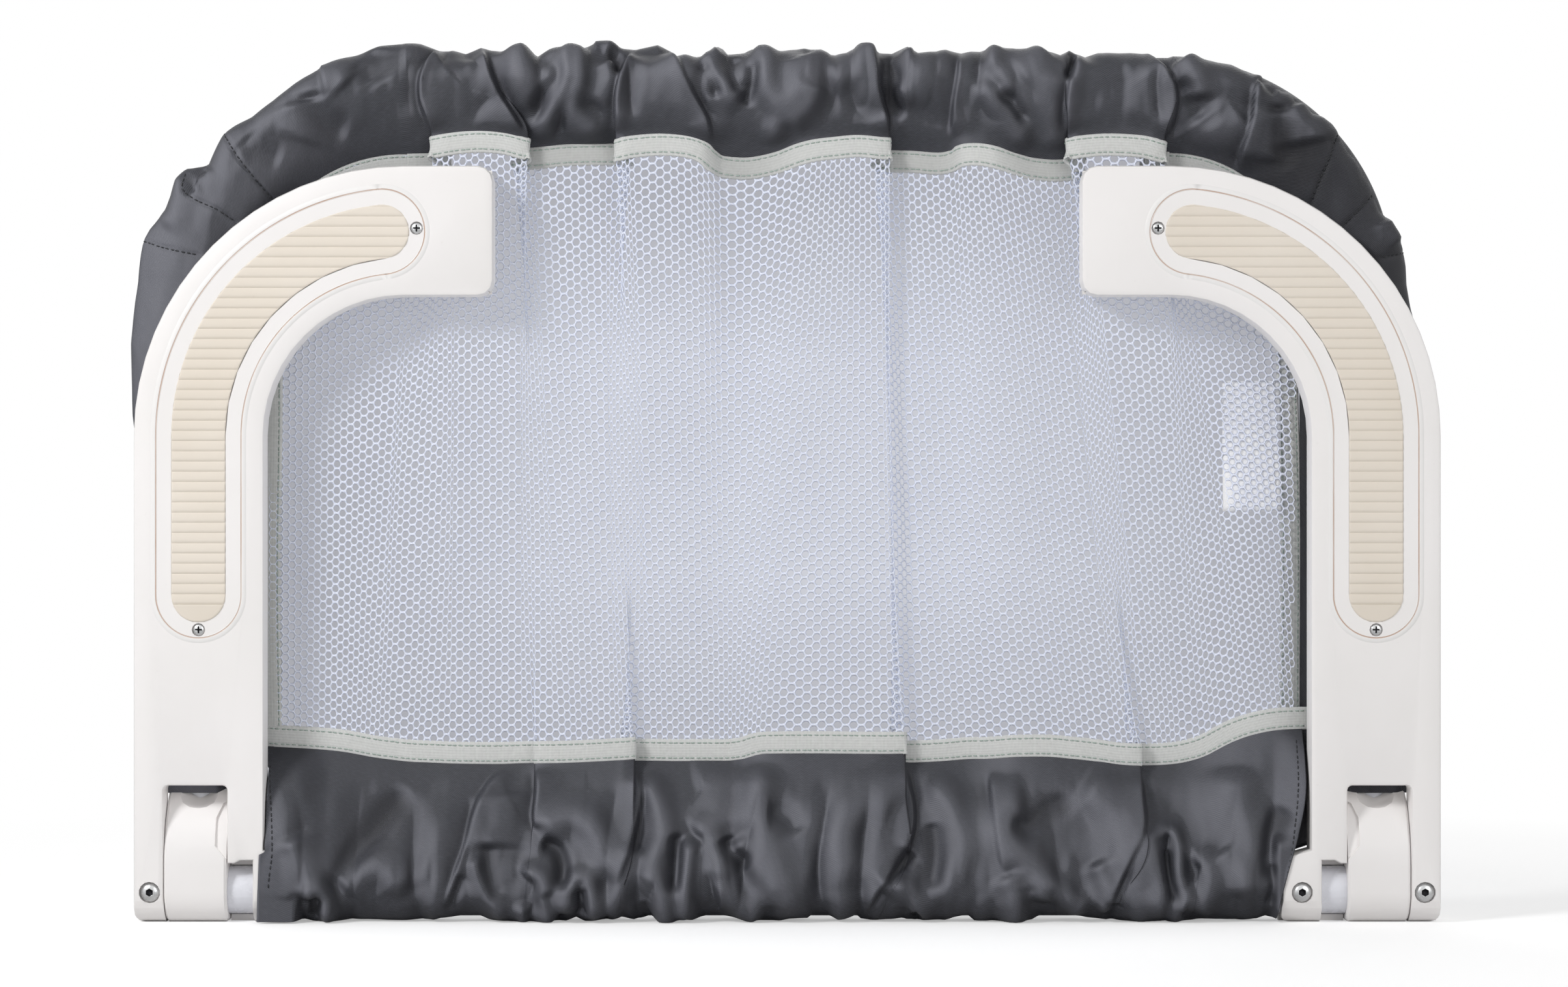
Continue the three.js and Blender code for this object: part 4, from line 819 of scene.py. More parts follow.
TOP_FOLDS = [
    ("R", 5, 10, [(-178.5, 453.4), (-185.1, 448.8), (-190.4, 438.2),
        (-191, 426.3), (-187.7, 415.8), (-184.8, 406.6)]),
    ("L", 5, 10, [(-158.4, 454), (-154.7, 443.5), (-149.4, 430.3), (-142.2, 418.4), (-134.9, 406.6)]),
    ("+", 3, 9, [(-139.5, 454), (-137.6, 444.8), (-131, 435.6), (-124.4, 429)]),
    ("+", 5, 5, [(-118.4, 454), (-113.8, 447.5), (-112.5, 439.5),
        (-115.1, 431.6), (-121.7, 422.4), (-127, 411.8), (-129.6, 402.6)]),
    ("-", 3, 6, [(-129.6, 447.5), (-119.1, 440.9), (-119.1, 431.6), (-127, 421.1), (-133.6, 411.8)]),
    ("+", 5, 5, [(-107.2, 454.7), (-108.5, 444.8), (-107.9, 434.3),
        (-111.2, 425), (-110.5, 418.4), (-103.2, 410.5), (-91.4, 405.2)]),
    ("-", 4, 4, [(-112.5, 450.1), (-110.5, 438.2), (-113.1, 429), (-119.1, 411.8), (-123, 405.2)]),
    ("+", 4, 4, [(-101.9, 456.4), (-92.7, 455.4), (-88.7, 450.1)]),
    ("+", 3, 5, [(-94.7, 447.5), (-91.4, 439.5), (-94, 430.3), (-100.6, 421.1)]),
    ("-", 5, 3, [(-92.7, 452.7), (-88.7, 447.5), (-87.4, 438.2)]),
    ("R", 5, 9, [(-80.8, 452.7), (-86.1, 440.9), (-89, 427.7), (-89.4, 407.9)]),
    ("L", 5, 9, [(-63, 453.4), (-55.7, 442.2), (-47.8, 427.7), (-41.2, 415.8), (-38.6, 402.6)]),
    ("+", 3, 6, [(-61, 448.8), (-50.4, 438.2), (-41.2, 426.3), (-37.2, 414.5), (-35.9, 402.6)]),
    ("+", 5, 4, [(-35.9, 454.7), (-40.5, 447.5), (-39.2, 440.9),
        (-33.3, 432.9), (-28, 423.7), (-24, 419.8)]),
    ("-", 4, 4, [(-43.8, 444.8), (-37.9, 434.3), (-37.2, 425)]),
    ("-", 3, 4, [(-28, 448.8), (-28, 438.2), (-24, 427.7)]),
    ("+", 5, 4, [(-18.8, 452.7), (-11.5, 447.5), (-11.5, 439.5),
        (-9.5, 430.3), (-4.2, 421.1), (-1.6, 415.8)]),
    ("-", 4, 4, [(-16.1, 444.8), (-17.4, 435.6), (-22.7, 421.1)]),
    ("+", 4, 4, [(12.9, 434.3), (5, 427.7), (-1.6, 418.4), (-6.9, 409.2), (-8.2, 401.3)]),
    ("+", 3, 8, [(9, 451.2), (11.7, 444.5), (7.7, 433.8), (-3, 416.3)]),
    ("+", 4, 4, [(14.4, 433.8), (11.7, 424.4), (-0.4, 411)]),
    ("+", 4, 6, [(39.9, 455.2), (35.8, 444.5), (30.5, 437.8), (19.7, 435.1)]),
    ("L", 5, 9, [(43.9, 455.2), (47.2, 444.5), (48.6, 429.7), (52.6, 416.3), (53.5, 405.6)]),
    ("+", 4, 5, [(64, 453.9), (65.3, 443.1), (62.7, 429.7), (56, 424.4)]),
    ("-", 4, 4, [(49.9, 448.5), (56, 437.8), (54.6, 428.4), (60, 415)]),
    ("R", 3, 7, [(89.5, 449.8), (88.1, 437.8), (86.1, 424.4), (84.8, 405.6)]),
    ("+", 4, 4, [(108.3, 453.2), (106.9, 441.8), (112.3, 433.8), (113.6, 425.7)]),
    ("+", 4, 5, [(93.5, 428.4), (102.9, 428.4), (110.9, 420.3), (120.3, 408.3), (127, 398.9)]),
    ("-", 4, 5, [(104.2, 444.5), (108.3, 433.8), (120.3, 420.3), (125.7, 411)]),
    ("+", 3, 6, [(131.7, 451.2), (125.7, 440.5), (120.3, 435.1)]),
    ("+", 3, 5, [(139.1, 440.5), (136.4, 427.1), (137.8, 408.3), (139.1, 397.6)]),
    ("-", 5, 3, [(148.5, 451.2), (147.8, 440.5), (144.5, 435.1)]),
    ("R", 5, 9, [(150.5, 449.8), (145.8, 433.8), (144.2, 420.3), (145.1, 406.9)]),
    ("L", 6, 9, [(190.1, 449.8), (198.1, 439.1), (202.1, 429.7), (201.5, 417.7), (196.8, 404.3)]),
    ("+", 4, 5, [(206.5, 448.1), (209.8, 440.5), (213, 430.8), (214.1, 424.3)]),
    ("-", 3, 7, [(202.2, 436.2), (209.8, 429.7), (213, 422.1), (222.8, 410.2)]),
    ("+", 3, 8, [(214.1, 419.9), (222.8, 410.2), (235.7, 412.4), (241.2, 416.7)]),
    ("R", 5, 10, [(243.9, 439.4), (242.2, 429.7), (241.2, 418.8),
        (239, 408), (235.7, 397.2), (235.7, 387.5)]),
    ("-", 3, 4, [(245.5, 438.3), (248.7, 431.8), (255.2, 430.2)]),
    ("-", 3, 7, [(256.3, 425.3), (256.3, 412.4), (258.5, 397.2), (261.7, 388.6)]),
    ("+", 2, 10, [(248.7, 422.1), (246.6, 405.9), (244.4, 392.9)]),
    ("+", 3, 12, [(266, 425.3), (270.4, 412.4), (272.5, 401.5)]),
    ("+", 2, 5, [(309.3, 363.7), (314.7, 355), (318, 350.7)]),
    ("-", 6, 4, [(-302.6, 392.4), (-308.1, 390.7), (-311.4, 387.4), (-310.3, 379.7), (-307.5, 379.7)]),
    ("+", 3, 8, [(-309.2, 392.4), (-315.3, 388.5), (-319.1, 379.7), (-322.4, 370.8), (-329.1, 358.7)]),
    ("-", 3, 9, [(-248.5, 431.5), (-246.3, 421.6), (-237.5, 413.9), (-226.5, 409.5)]),
    ("+", 2, 9, [(-243, 435.9), (-235.3, 437), (-228.7, 431.5)]),
    ("-", 2, 6, [(-224.3, 444.7), (-217.7, 438.1), (-215.4, 434.8)]),
    ("-", 2.5, 11, [(-213.2, 453.6), (-212.1, 443.6), (-206.6, 435.9)]),
    ("-", 2, 9, [(-283.8, 407.2), (-275, 399.5), (-261.8, 394)]),
    ("+", 2, 9, [(-252.9, 426), (-250.7, 415), (-254.1, 402.8)]),
]
GUSSETS = {
    "left": [
        [(-293.8, 408.9), (-283.8, 394), (-275, 383), (-267.8, 374.2)],
        [(-313.6, 388.5), (-314.7, 379.7), (-308.1, 374.2), (-296, 368.6), (-286, 362)],
        [(-336.8, 353.2), (-323.5, 348.8), (-304.8, 344.9)],
    ],
    "right": [
        [(286.6, 408.6), (281.2, 395), (275.8, 382.1), (272, 371.2)],
        [(305, 376.7), (296.3, 368), (288.2, 359.9)],
        [(321.8, 346.9), (313.7, 344.7), (306.1, 343.1)],
    ],
}
for lines in GUSSETS.values():
    TOP_FOLDS += [("s", 0.7, 1.5, line) for line in lines]

END_HEMS = {
    "left": [(-268.4, 80.7), (-265.6, 51.4), (-265, 36.2), (-266.5, 23.5), (-266.9, 18)],
    "right": [(264.4, 94.1), (263.8, 69.2), (260.7, 44.2), (256.9, 24.3), (255.3, 18)],
}
BOTTOM_FOLDS = [
    ("+", 4, 6, [(-254.8, 46.4), (-249.7, 33.7), (-246.6, 21), (-245.9, 10.8)]),
    ("-", 6, 3.5, [(-244.6, 14.6), (-243.1, 10.8), (-244.6, 0.6)]),
    ("+", 4, 3.5, [(-246.9, 10.8), (-245.9, 15.2), (-241.5, 17.8),
        (-237, 15.2), (-236, 9.5), (-239.6, 1.9)]),
    ("-", 5, 8, [(-195.1, 68), (-207.8, 55.3), (-216.7, 43.8),
        (-225.6, 32.4), (-234.5, 15.9), (-237, 4.5)]),
    ("+", 4, 8, [(-231.9, 15.9), (-221.8, 24.8), (-210.4, 29.9), (-202.7, 24.8), (-195.1, 13.3)]),
    ("R", 4, 9, [(-139.2, 78.4), (-150.7, 75.6), (-158.3, 66.7),
        (-163.4, 55.3), (-167.2, 38.7), (-172.3, 23.5), (-178.6, 4.5)]),
    ("+", 3, 10, [(-148.1, 68), (-146.9, 51.4), (-148.1, 36.2)]),
    ("+", 3, 4, [(-162.1, 36.2), (-154.5, 15.9), (-144.3, 0.6)]),
    ("-", 3, 4, [(-167.2, 26), (-172.3, 12.1), (-176.1, 4.5)]),
    ("-", 3, 5, [(-154.5, 41.3), (-154.5, 26), (-148.1, 10.8)]),
    ("R", 5, 8, [(-131, 79.4), (-130.6, 66.7), (-131.6, 55.3), (-130.3, 46.4)]),
    ("+", 5, 6, [(-130.3, 46.4), (-120.2, 52.7), (-111.3, 55.3),
        (-102.4, 51.4), (-96.1, 43.8), (-92.2, 31.1), (-91, 18.4)]),
    ("-", 6, 5, [(-127.8, 41.3), (-118.9, 37.5), (-115.1, 26), (-115.1, 15.9)]),
    ("+", 5, 4, [(-135.4, 22.2), (-131.6, 26), (-126.5, 23.5), (-122.7, 12.1), (-117.6, -0.6)]),
    ("+", 5, 4, [(-113.8, 4.5), (-112.6, 18.4), (-108.8, 23.5),
        (-103.7, 23.5), (-100.5, 12.1), (-101.1, 0.6)]),
    ("-", 4, 4, [(-106.9, 18.4), (-104.9, 12.1), (-105.6, 4.5)]),
    ("+", 3, 3, [(-136.7, 12.1), (-135.4, 1.9), (-132.9, -0.6), (-127.8, 4.5), (-121.5, -0.6)]),
    ("-", 4, 4, [(-124, 17.2), (-120.2, 8.3), (-115.1, 0.6)]),
    ("+", 4, 5, [(-78.3, 41.3), (-83.4, 26), (-89.7, 12.1), (-98.6, 0.6)]),
    ("L", 5, 8, [(-79, 81.1), (-75.7, 64.2), (-78.8, 44.9), (-83.6, 30.5), (-88.4, 18.4)]),
    ("+", 4, 5, [(-77.5, 77.5), (-70.3, 67.8), (-64.3, 54.6),
        (-63.1, 44.9), (-67.9, 35.3), (-72.7, 23.2), (-75.1, 10)]),
    ("+", 4, 4, [(-72.7, 19.6), (-67.9, 24.4), (-64.3, 16), (-61.9, 4), (-59.5, -3.3)]),
    ("-", 4, 4, [(-76.3, 10), (-70.3, 1.5), (-66.7, -3.3)]),
    ("+", 5, 4, [(-48.6, 44.9), (-51, 35.3), (-52.8, 20.8), (-52.2, 8.8), (-54.6, -2.1)]),
    ("+", 4, 5, [(-48.6, 44.9), (-42.6, 48.5), (-37.8, 42.5), (-34.2, 30.5), (-36.6, 20.8)]),
    ("-", 5, 5, [(-57.7, 47.3), (-56.5, 28.1), (-59.5, 13.6)]),
    ("-", 5, 6, [(-32.4, 44.9), (-29.3, 37.7), (-18.5, 29.3)]),
    ("+", 3, 9, [(-51, 76.2), (-42.6, 77.5), (-35.4, 72.6), (-34.2, 61.8), (-31.8, 44.9)]),
    ("+", 6, 6.5, [(-12.5, 83.5), (-16.1, 61.8), (-15.5, 52.2),
        (-8.9, 35.3), (-2.8, 20.8), (0.8, 10), (-1.6, 1.5)]),
    ("+", 3, 5, [(-26.9, 44.9), (-18.5, 34.1), (-8.9, 24.4), (-1.6, 13.6)]),
    ("+", 4, 6, [(-39, 16), (-33, 17.2), (-23.3, 8.8), (-13.7, 0.3)]),
    ("-", 3.5, 8, [(-11.3, 55.8), (-0.4, 54.6), (5.6, 44.9)]),
    ("+", 4, 9, [(61, 60.6), (51.4, 64.2), (36.9, 60.6),
        (27.3, 49.7), (27.3, 37.7), (34.5, 23.2), (36.9, 16)]),
    ("L", 5, 8, [(62.2, 84.7), (63.4, 72.6), (65.9, 60.6), (65.9, 49.7),
        (62.2, 37.7), (53.8, 25.6), (45.4, 13.6), (39.3, 0.3)]),
    ("-", 5, 6, [(64.6, 37.7), (57.4, 29.3), (49, 20.8)]),
    ("+", 4, 5, [(46.6, 17.2), (53.8, 20.8), (63.4, 16), (68.3, 6.4), (63.4, 0.3)]),
    ("-", 6, 3, [(64, 5.2), (66.5, 3.3), (65.9, 0.3)]),
    ("+", 4, 6, [(69.5, 72.6), (80.3, 66.6), (87.5, 54.6),
        (90, 40.1), (87.5, 30.5), (82.7, 18.4), (77.9, 6.4)]),
    ("-", 4, 6, [(74.3, 52.2), (76.7, 35.3), (74.3, 16)]),
    ("R", 4, 8, [(104.7, 77.9), (105.3, 65.4), (107.2, 49.2), (109.7, 31.7), (112.2, 24.3)]),
    ("+", 5, 5, [(112.2, 26.7), (117.1, 15.5), (118.4, 3), (117.1, -4.5)]),
    ("+", 5, 6.5, [(125.9, 65.4), (114.7, 60.4), (110.3, 53),
        (115.9, 39.2), (125.9, 29.2), (130.9, 19.3), (128.4, 10.5)]),
    ("-", 3.5, 7, [(113.4, 51.7), (122.1, 48), (125.9, 49.2),
        (134.6, 56.7), (142.1, 60.4), (149.6, 59.2)]),
    ("+", 4, 9, [(152.1, 72.9), (162.1, 65.4), (169.6, 54.2), (172.1, 39.2), (170.8, 21.8)]),
    ("+", 4, 5, [(129.6, 9.3), (132.1, 16.8), (137.1, 19.3), (147.1, 11.8), (154.6, 3)]),
    ("+", 4, 5, [(158.3, 33), (163.3, 21.8), (164.6, 10.5), (159.6, 4.3)]),
    ("-", 4, 5, [(169.6, 11.8), (167.1, 4.3), (164.6, 0.5)]),
    ("L", 5, 8, [(184.3, 79.2), (184.8, 65.4), (184.5, 49.2),
        (177.1, 34.2), (170.8, 19.3), (164.6, 6.8)]),
    ("+", 4, 5, [(184.5, 49.2), (188.3, 39.2), (192, 26.7), (193.3, 15.5), (188.3, 3)]),
    ("+", 4, 3.5, [(192, 41.7), (195.1, 47.3), (198.9, 47.3),
        (202, 39.2), (202.6, 26.7), (205.8, 11.8), (207, 1.8)]),
    ("-", 5, 3, [(195.1, 39.2), (196.4, 24.3), (199.5, 10.5)]),
    ("+", 3, 3, [(199.5, -0.7), (202, 9.3), (205.8, 8)]),
    ("+", 4, 6, [(208.3, 29.2), (213.2, 31.7), (217, 24.3), (215.7, 11.8), (209.5, 3)]),
    ("+", 4, 9, [(230.7, 81.7), (232, 62.9), (237, 49.2), (239.5, 34.2), (235.7, 16.8), (233.2, 6.8)]),
    ("+", 3, 5, [(223.2, 39.2), (232, 26.7), (234.5, 13)]),
    ("-", 4, 7, [(258.2, 60.4), (250.7, 46.7), (248.2, 31.7), (249.4, 19.3)]),
    ("-", 4, 4, [(250.7, 31.7), (251.9, 19.3), (248.2, 6.8)]),
]

FOLD_GAIN = 1.5
FOLD_SPREAD = {"+": 2.3, "-": 1.4}


def gathers(x, z, size, seed, tall=0.42):
    """Rounded crests with sharp valleys between them, as drawn cloth has, from about -0.5 to 1."""
    drift = 0.35 * size * lumps(x, 0.0, z, 2.6 * size, seed + 20)
    return 1.7 * np.abs(lumps(x + drift, 0.0, z * tall, size, seed)) - 0.45


def soft_limit(h, low, high):
    """h bent smoothly to stay between -low and high."""
    return np.where(h > 0, high * np.tanh(h / high), low * np.tanh(h / low))


def folds_at(x, z, folds):
    """Height of the folds over the cloth, in mm, at points of the front view."""
    shape = np.shape(x)
    x, z = np.ravel(x), np.ravel(z)
    out = np.zeros(len(x))
    for kind, height, width, path in folds:
        width = width * FOLD_SPREAD.get(kind, 1.0)
        line = smooth_path(path, 1.6)
        reach = width * (3.2 if kind in "RL" else 1.7)
        lo, hi = line.min(0) - reach, line.max(0) + reach
        near = np.nonzero((x > lo[0]) & (x < hi[0]) & (z > lo[1]) & (z < hi[1]))[0]
        if not len(near):
            continue
        p = np.stack([x[near], z[near]], axis=1)
        a, b = line[:-1], line[1:]
        ab = b - a
        t = np.clip(((p[:, None] - a[None]) * ab[None]).sum(2) / (ab * ab).sum(1)[None], 0, 1)
        foot = a[None] + t[..., None] * ab[None]
        dist = np.linalg.norm(p[:, None] - foot, axis=2)
        k = dist.argmin(1)
        rows = np.arange(len(k))
        d = dist[rows, k]
        along = (k + t[rows, k]) / len(a)
        fade = step(0, 0.16, along) * step(0, 0.22, 1 - along)
        if kind in "RL":
            side = p[:, 0] - foot[rows, k, 0]
            side = np.sign(side) * d * (1 if kind == "R" else -1)
            rise = 1 / (1 + np.exp(-side / 0.55))
            form = rise * np.exp(-np.maximum(side, 0) / (width * 0.9)) * 0.85
            form -= 0.35 * (1 - rise) * np.exp(-np.maximum(-side, 0) / (width * 0.35))
        else:
            form = np.exp(-((d / (width * 0.55)) ** 2))
            form = form * (1.0 if kind == "+" else -0.7)
            if kind == "s":
                form = form / 0.7
                fade = 1.0
        out[near] += FOLD_GAIN * height * fade * form
    return out.reshape(shape)


# Hem stations along the cloth, one a row:
# the top tape's middle x, y and z; the bottom tape's middle x, y and z;
# the x where the cloth reaches the top of the top tube, and the underside of the bottom tube;
# and how far the fold bulges half way up, at the top and at the bottom.
HEM = np.array([
    (-276, 12.5, 392, -276, 12.5, 95.2, -276, -279, 0, 0),
    (-230, 12.5, 392.5, -235, 12.2, 92.6, -232, -234, 0, 0),
    (-196, 12.5, 393, -215, 12.0, 89.2, -199, -212, 0, 0),
    (-180, 12.0, 393.5, -205, 12.0, 87.9, -190, -201, -4, 0),
    (-175.8, 10.4, 394.5, -200, 12.0, 87.3, -186.3, -196, -6, 0),
    (-180, 7.8, 397.5, -195, 12.0, 86.9, -184, -190, -7, 0),
    (-185.2, 5.4, 400.8, -190, 12.0, 86.7, -181.5, -185, -8, 0),
    (-181, 3.4, 401.8, -185, 12.0, 86.5, -179, -180, -6, 0),
    (-172, 3.0, 403.3, -175, 11.5, 86.1, -175.5, -171, -3, 0),
    (-160, 3.0, 404.2, -162, 11.5, 85.9, -170.5, -161, -2, 0),
    (-147, 3.0, 403.2, -149, 11.5, 85.9, -165.0, -152, -2, 0),
    (-138.5, 3.4, 401.0, -139, 11.3, 86.2, -161.0, -145, -3, 0),
    (-134.7, 5.2, 399.8, -133, 10.5, 86.4, -158.5, -140, -3, 0),
    (-139.5, 7.8, 397.0, -130.3, 9.2, 86.4, -157.0, -137, -3, 0),
    (-144, 10.4, 395.8, -131.6, 6.8, 86.5, -155.5, -134, -2, 0),
    (-139.5, 12.1, 395.9, -128, 5.0, 86.7, -153.0, -131, 0, 0),
    (-132, 12.5, 396.2, -118, 4.2, 86.9, -147, -124, 0, 0),
    (-115, 12.5, 397.9, -105, 4.0, 87.4, -125, -114, 0, 0),
    (-96, 12.5, 398.3, -90, 4.0, 88.2, -98, -101, 0, 0),
    (-85, 12.0, 398.0, -83, 4.2, 88.6, -88, -95, -2, 3),
    (-80.4, 10.4, 398.0, -79.1, 5.8, 88.9, -85.3, -90, -2, 4),
    (-85, 7.8, 398.6, -83.6, 8.2, 88.2, -83.2, -89, -3, 4),
    (-89.4, 5.4, 399.3, -88, 10.6, 87.7, -80.8, -88, -4, 3),
    (-86, 3.4, 400.3, -83.5, 12.2, 87.6, -79, -85, -3, 2),
    (-80.8, 3.0, 401.4, -72, 12.5, 87.5, -76.5, -75, -2, 0),
    (-65, 3.0, 402.6, -60, 12.5, 87.3, -71, -63, 0, 0),
    (-50.4, 3.3, 401.2, -48, 12.5, 87.3, -66, -51, 0, 0),
    (-43.8, 4.6, 398.6, -41, 12.5, 87.3, -63, -44, 0, 0),
    (-39, 7.5, 394.4, -36, 12.3, 87.3, -60, -39, 0, 0),
    (-34, 11.0, 391.9, -32, 12.0, 87.3, -56.5, -35, 0, 0),
    (-26, 12.5, 391.0, -29, 11.6, 87.5, -48, -31, 0, 0),
    (-20, 12.5, 391.0, -26.5, 10.8, 87.9, -38, -27.5, 0, 0),
    (-12, 11.3, 392.2, -23, 9.6, 88.5, -24, -23, 0, 0),
    (-4.2, 8.8, 394.0, -18.5, 7.4, 90.2, -12, -17, 0, -1),
    (5, 5.4, 397.3, -13, 5.4, 91.5, -1, -10, 0, -2),
    (13, 3.7, 399.3, -5, 4.3, 91.8, 8, -2, 0, -2),
    (25, 3.0, 400.8, 15, 4.0, 91.9, 20, 12, 0, 0),
    (37, 3.0, 401.8, 35, 4.0, 91.7, 30, 26, 0, 1),
    (48, 3.2, 400.8, 52, 4.0, 91.6, 38, 38, 0, 5),
    (53.4, 5.2, 400.2, 61.6, 5.8, 91.5, 42.2, 44, 1, 9),
    (48.6, 7.8, 397.5, 57.2, 8.2, 90.0, 44.2, 46, 1, 8),
    (44.2, 10.4, 395.4, 52.8, 10.6, 88.0, 46.2, 48, 1, 6),
    (48.5, 12.1, 395.0, 57.2, 12.2, 86.8, 49, 52, 0, 4),
    (56, 12.5, 394.7, 66, 12.5, 86.6, 56, 62, 0, 0),
    (66, 12.5, 394.4, 80, 12.5, 87.2, 65, 75, 0, 0),
    (80, 12.0, 393.5, 95, 12.0, 88.4, 78, 90, 0, 0),
    (86, 9.6, 394.7, 103, 10.0, 88.6, 84, 100, -1, 0),
    (89.5, 6.5, 396.6, 110, 7.4, 89.2, 87.5, 108, -1, 0),
    (93.5, 4.2, 397.4, 117, 5.2, 89.9, 91, 115, -1, 0),
    (100, 3.2, 397.4, 126, 4.2, 90.2, 98, 123, 0, 0),
    (108, 3.8, 396.0, 137, 4.0, 90.1, 106, 131, 0, 0),
    (117.6, 7.5, 393.3, 147, 4.0, 89.2, 116, 139, 0, 0),
    (125.7, 10.8, 391.1, 155, 4.0, 88.4, 124, 145, 0, 1),
    (133, 12.3, 390.2, 163, 4.0, 87.4, 131, 150, 0, 3),
    (140, 12.5, 389.8, 171, 4.0, 86.2, 137.5, 155, 0, 6),
    (149.5, 12.1, 390.5, 179.5, 4.3, 85.6, 141.5, 160, 0, 8),
    (154.3, 10.4, 391.5, 184.2, 5.8, 85.4, 144, 163, -1, 9),
    (150, 7.8, 396.0, 179.7, 8.2, 85.3, 146, 165, -2, 8),
    (145.6, 5.4, 400.0, 175.4, 10.6, 85.2, 148.2, 168, -3, 6),
    (149.5, 3.4, 401.0, 179.7, 12.2, 85.1, 150.2, 172, -2, 4),
    (155, 3.0, 401.7, 188, 12.5, 85.1, 154, 181, 0, 0),
    (167, 3.0, 402.5, 196, 12.5, 85.3, 165, 190, 3, 0),
    (185, 3.0, 401.4, 206, 12.3, 86.5, 179, 199, 6, 0),
    (192, 3.3, 399.6, 214, 11.8, 88.6, 185, 206, 8, 0),
    (196.4, 5.2, 398.2, 219.5, 11.0, 91.0, 188.6, 210.5, 9, 0),
    (191.6, 7.8, 396.0, 224, 10.2, 93.6, 190.3, 214.5, 7, 0),
    (187.2, 10.4, 394.4, 229, 9.4, 96.3, 192, 218.5, 5, 0),
    (191.5, 12.1, 394.2, 234, 8.6, 98.6, 194.5, 222.5, 3, 0),
    (200, 12.5, 393.9, 241, 8.0, 101.0, 199.8, 229, 0, 0),
    (215, 12.5, 393.0, 252, 7.4, 103.4, 212, 239, 0, 0),
    (240, 12.5, 392.5, 264, 7.2, 104.3, 238, 249.5, 0, 0),
    (276, 12.5, 392, 276, 7.2, 104.4, 276, 259.5, 0, 0),
], float)
TOP_HEM, LOW_HEM, TUBE_TOP, TUBE_LOW, TOP_BULGE, LOW_BULGE = 0, 3, 6, 7, 8, 9  # columns of HEM


def hem_gap(rows):
    """Distance from each hem row to the next, as the mean of the top and the bottom tape."""
    move = np.diff(rows, axis=0)
    return 0.5 * (np.linalg.norm(move[:, 0:3], axis=1) + np.linalg.norm(move[:, 3:6], axis=1))


HEM_KNOTS = np.concatenate([[0], np.cumsum(hem_gap(HEM) ** 0.5)])
HEM_FINE = np.linspace(0, HEM_KNOTS[-1], 12000)
HEM_ROWS = spline(HEM, HEM_KNOTS, HEM_FINE)
CLOTH = np.concatenate([[0], np.cumsum(hem_gap(HEM_ROWS))])  # cloth length across, mm


def hem_at(w):
    """The hem row at cloth length w."""
    return np.stack([np.interp(w, CLOTH, HEM_ROWS[:, k]) for k in range(HEM_ROWS.shape[1])], axis=-1)


def cloth_at(x, column=TOP_HEM):
    """Cloth length where the hem row first passes x."""
    return float(CLOTH[np.argmax(HEM_ROWS[:, column] >= x)])


def cloth_last(x, column=TOP_HEM):
    """Cloth length where the hem row last is short of x."""
    return float(CLOTH[np.nonzero(HEM_ROWS[:, column] <= x)[0][-1]])


# Top and side sleeves

TUBE_Y, TOP_Z = 14.0, 437.0  # the top tube's middle line
BEND_X, BEND_Z, TUBE_BEND = 199.8, 332.0, 105.0  # centre and radius of its bends
UPRIGHT = 304.8
SIDE_TAPE = {-1: -269.5, 1: 262.0}  # x of the side tapes' middle lines
TAPE_HIGH = {-1: 393.0, 1: 393.6}  # height of the top tape where it meets each of them
SIDE_HEM_Y = 12.5

# Outline of the sleeves in the photo, as (x, z) along the top and down each side
TOP_OUT = [
    (-200, 456.3), (-191.2, 455.6), (-180.2, 452.2), (-174.6, 452.7), (-168, 451.3), (-160, 454.0),
    (-154.5, 452.6), (-149.5, 451.7), (-139, 453.4), (-131, 448.9), (-124, 451.8), (-119, 453.5),
    (-110, 451.4), (-100.5, 456.7), (-92.7, 455.4), (-87.4, 453.4), (-80, 453.4), (-67.6, 455.4),
    (-61, 452.7), (-57, 448.9), (-48, 448.7), (-41, 448.8), (-39.2, 453.4), (-36, 454.6), (-32.6, 452.7),
    (-31.3, 450.4), (-22.7, 451.0), (-18.8, 453.0), (-13.5, 450.8), (-4.2, 451.7), (5, 453.4), (9, 454.1),
    (15.7, 453.2), (22.4, 448.8), (30.5, 449.6), (35.8, 453.2), (41.2, 455.7), (45.2, 453.2), (48, 451.2),
    (54.6, 451.2), (62.7, 454.5), (64.7, 453.9), (65.4, 450.5), (68, 448.7), (74.7, 450.1), (82.8, 451.6),
    (90.8, 450.5), (96.2, 451.5), (109.6, 453.6), (117.6, 452.5), (124.3, 450.5), (132.4, 451.9),
    (137.8, 450.5), (141.8, 448.8), (147.1, 451.6), (155.2, 448.6), (161.9, 450.9), (178, 451.2),
    (187.4, 450.5), (193.6, 446.6), (199, 448.4), (206.5, 449.1),
]
LEFT_OUT = [
    (-341.5, 240), (-342.3, 270), (-342.7, 300), (-341.0, 322), (-339.4, 335.8), (-338.4, 345.5),
    (-336.8, 353.7), (-333.5, 359.8), (-328, 365.3), (-324.6, 369.7), (-321.9, 376.4), (-319.1, 385.2),
    (-313.6, 390.7), (-308.1, 392.6), (-302.4, 392.9), (-299.3, 399.5), (-294.3, 408.9), (-288.2, 413.3),
    (-279.4, 417.7), (-268.4, 426.0), (-257.4, 434.3), (-246.3, 440.9), (-235.3, 445.8), (-224.3, 449.7),
    (-213.2, 454.7), (-206.6, 455.6), (-200, 456.3),
]
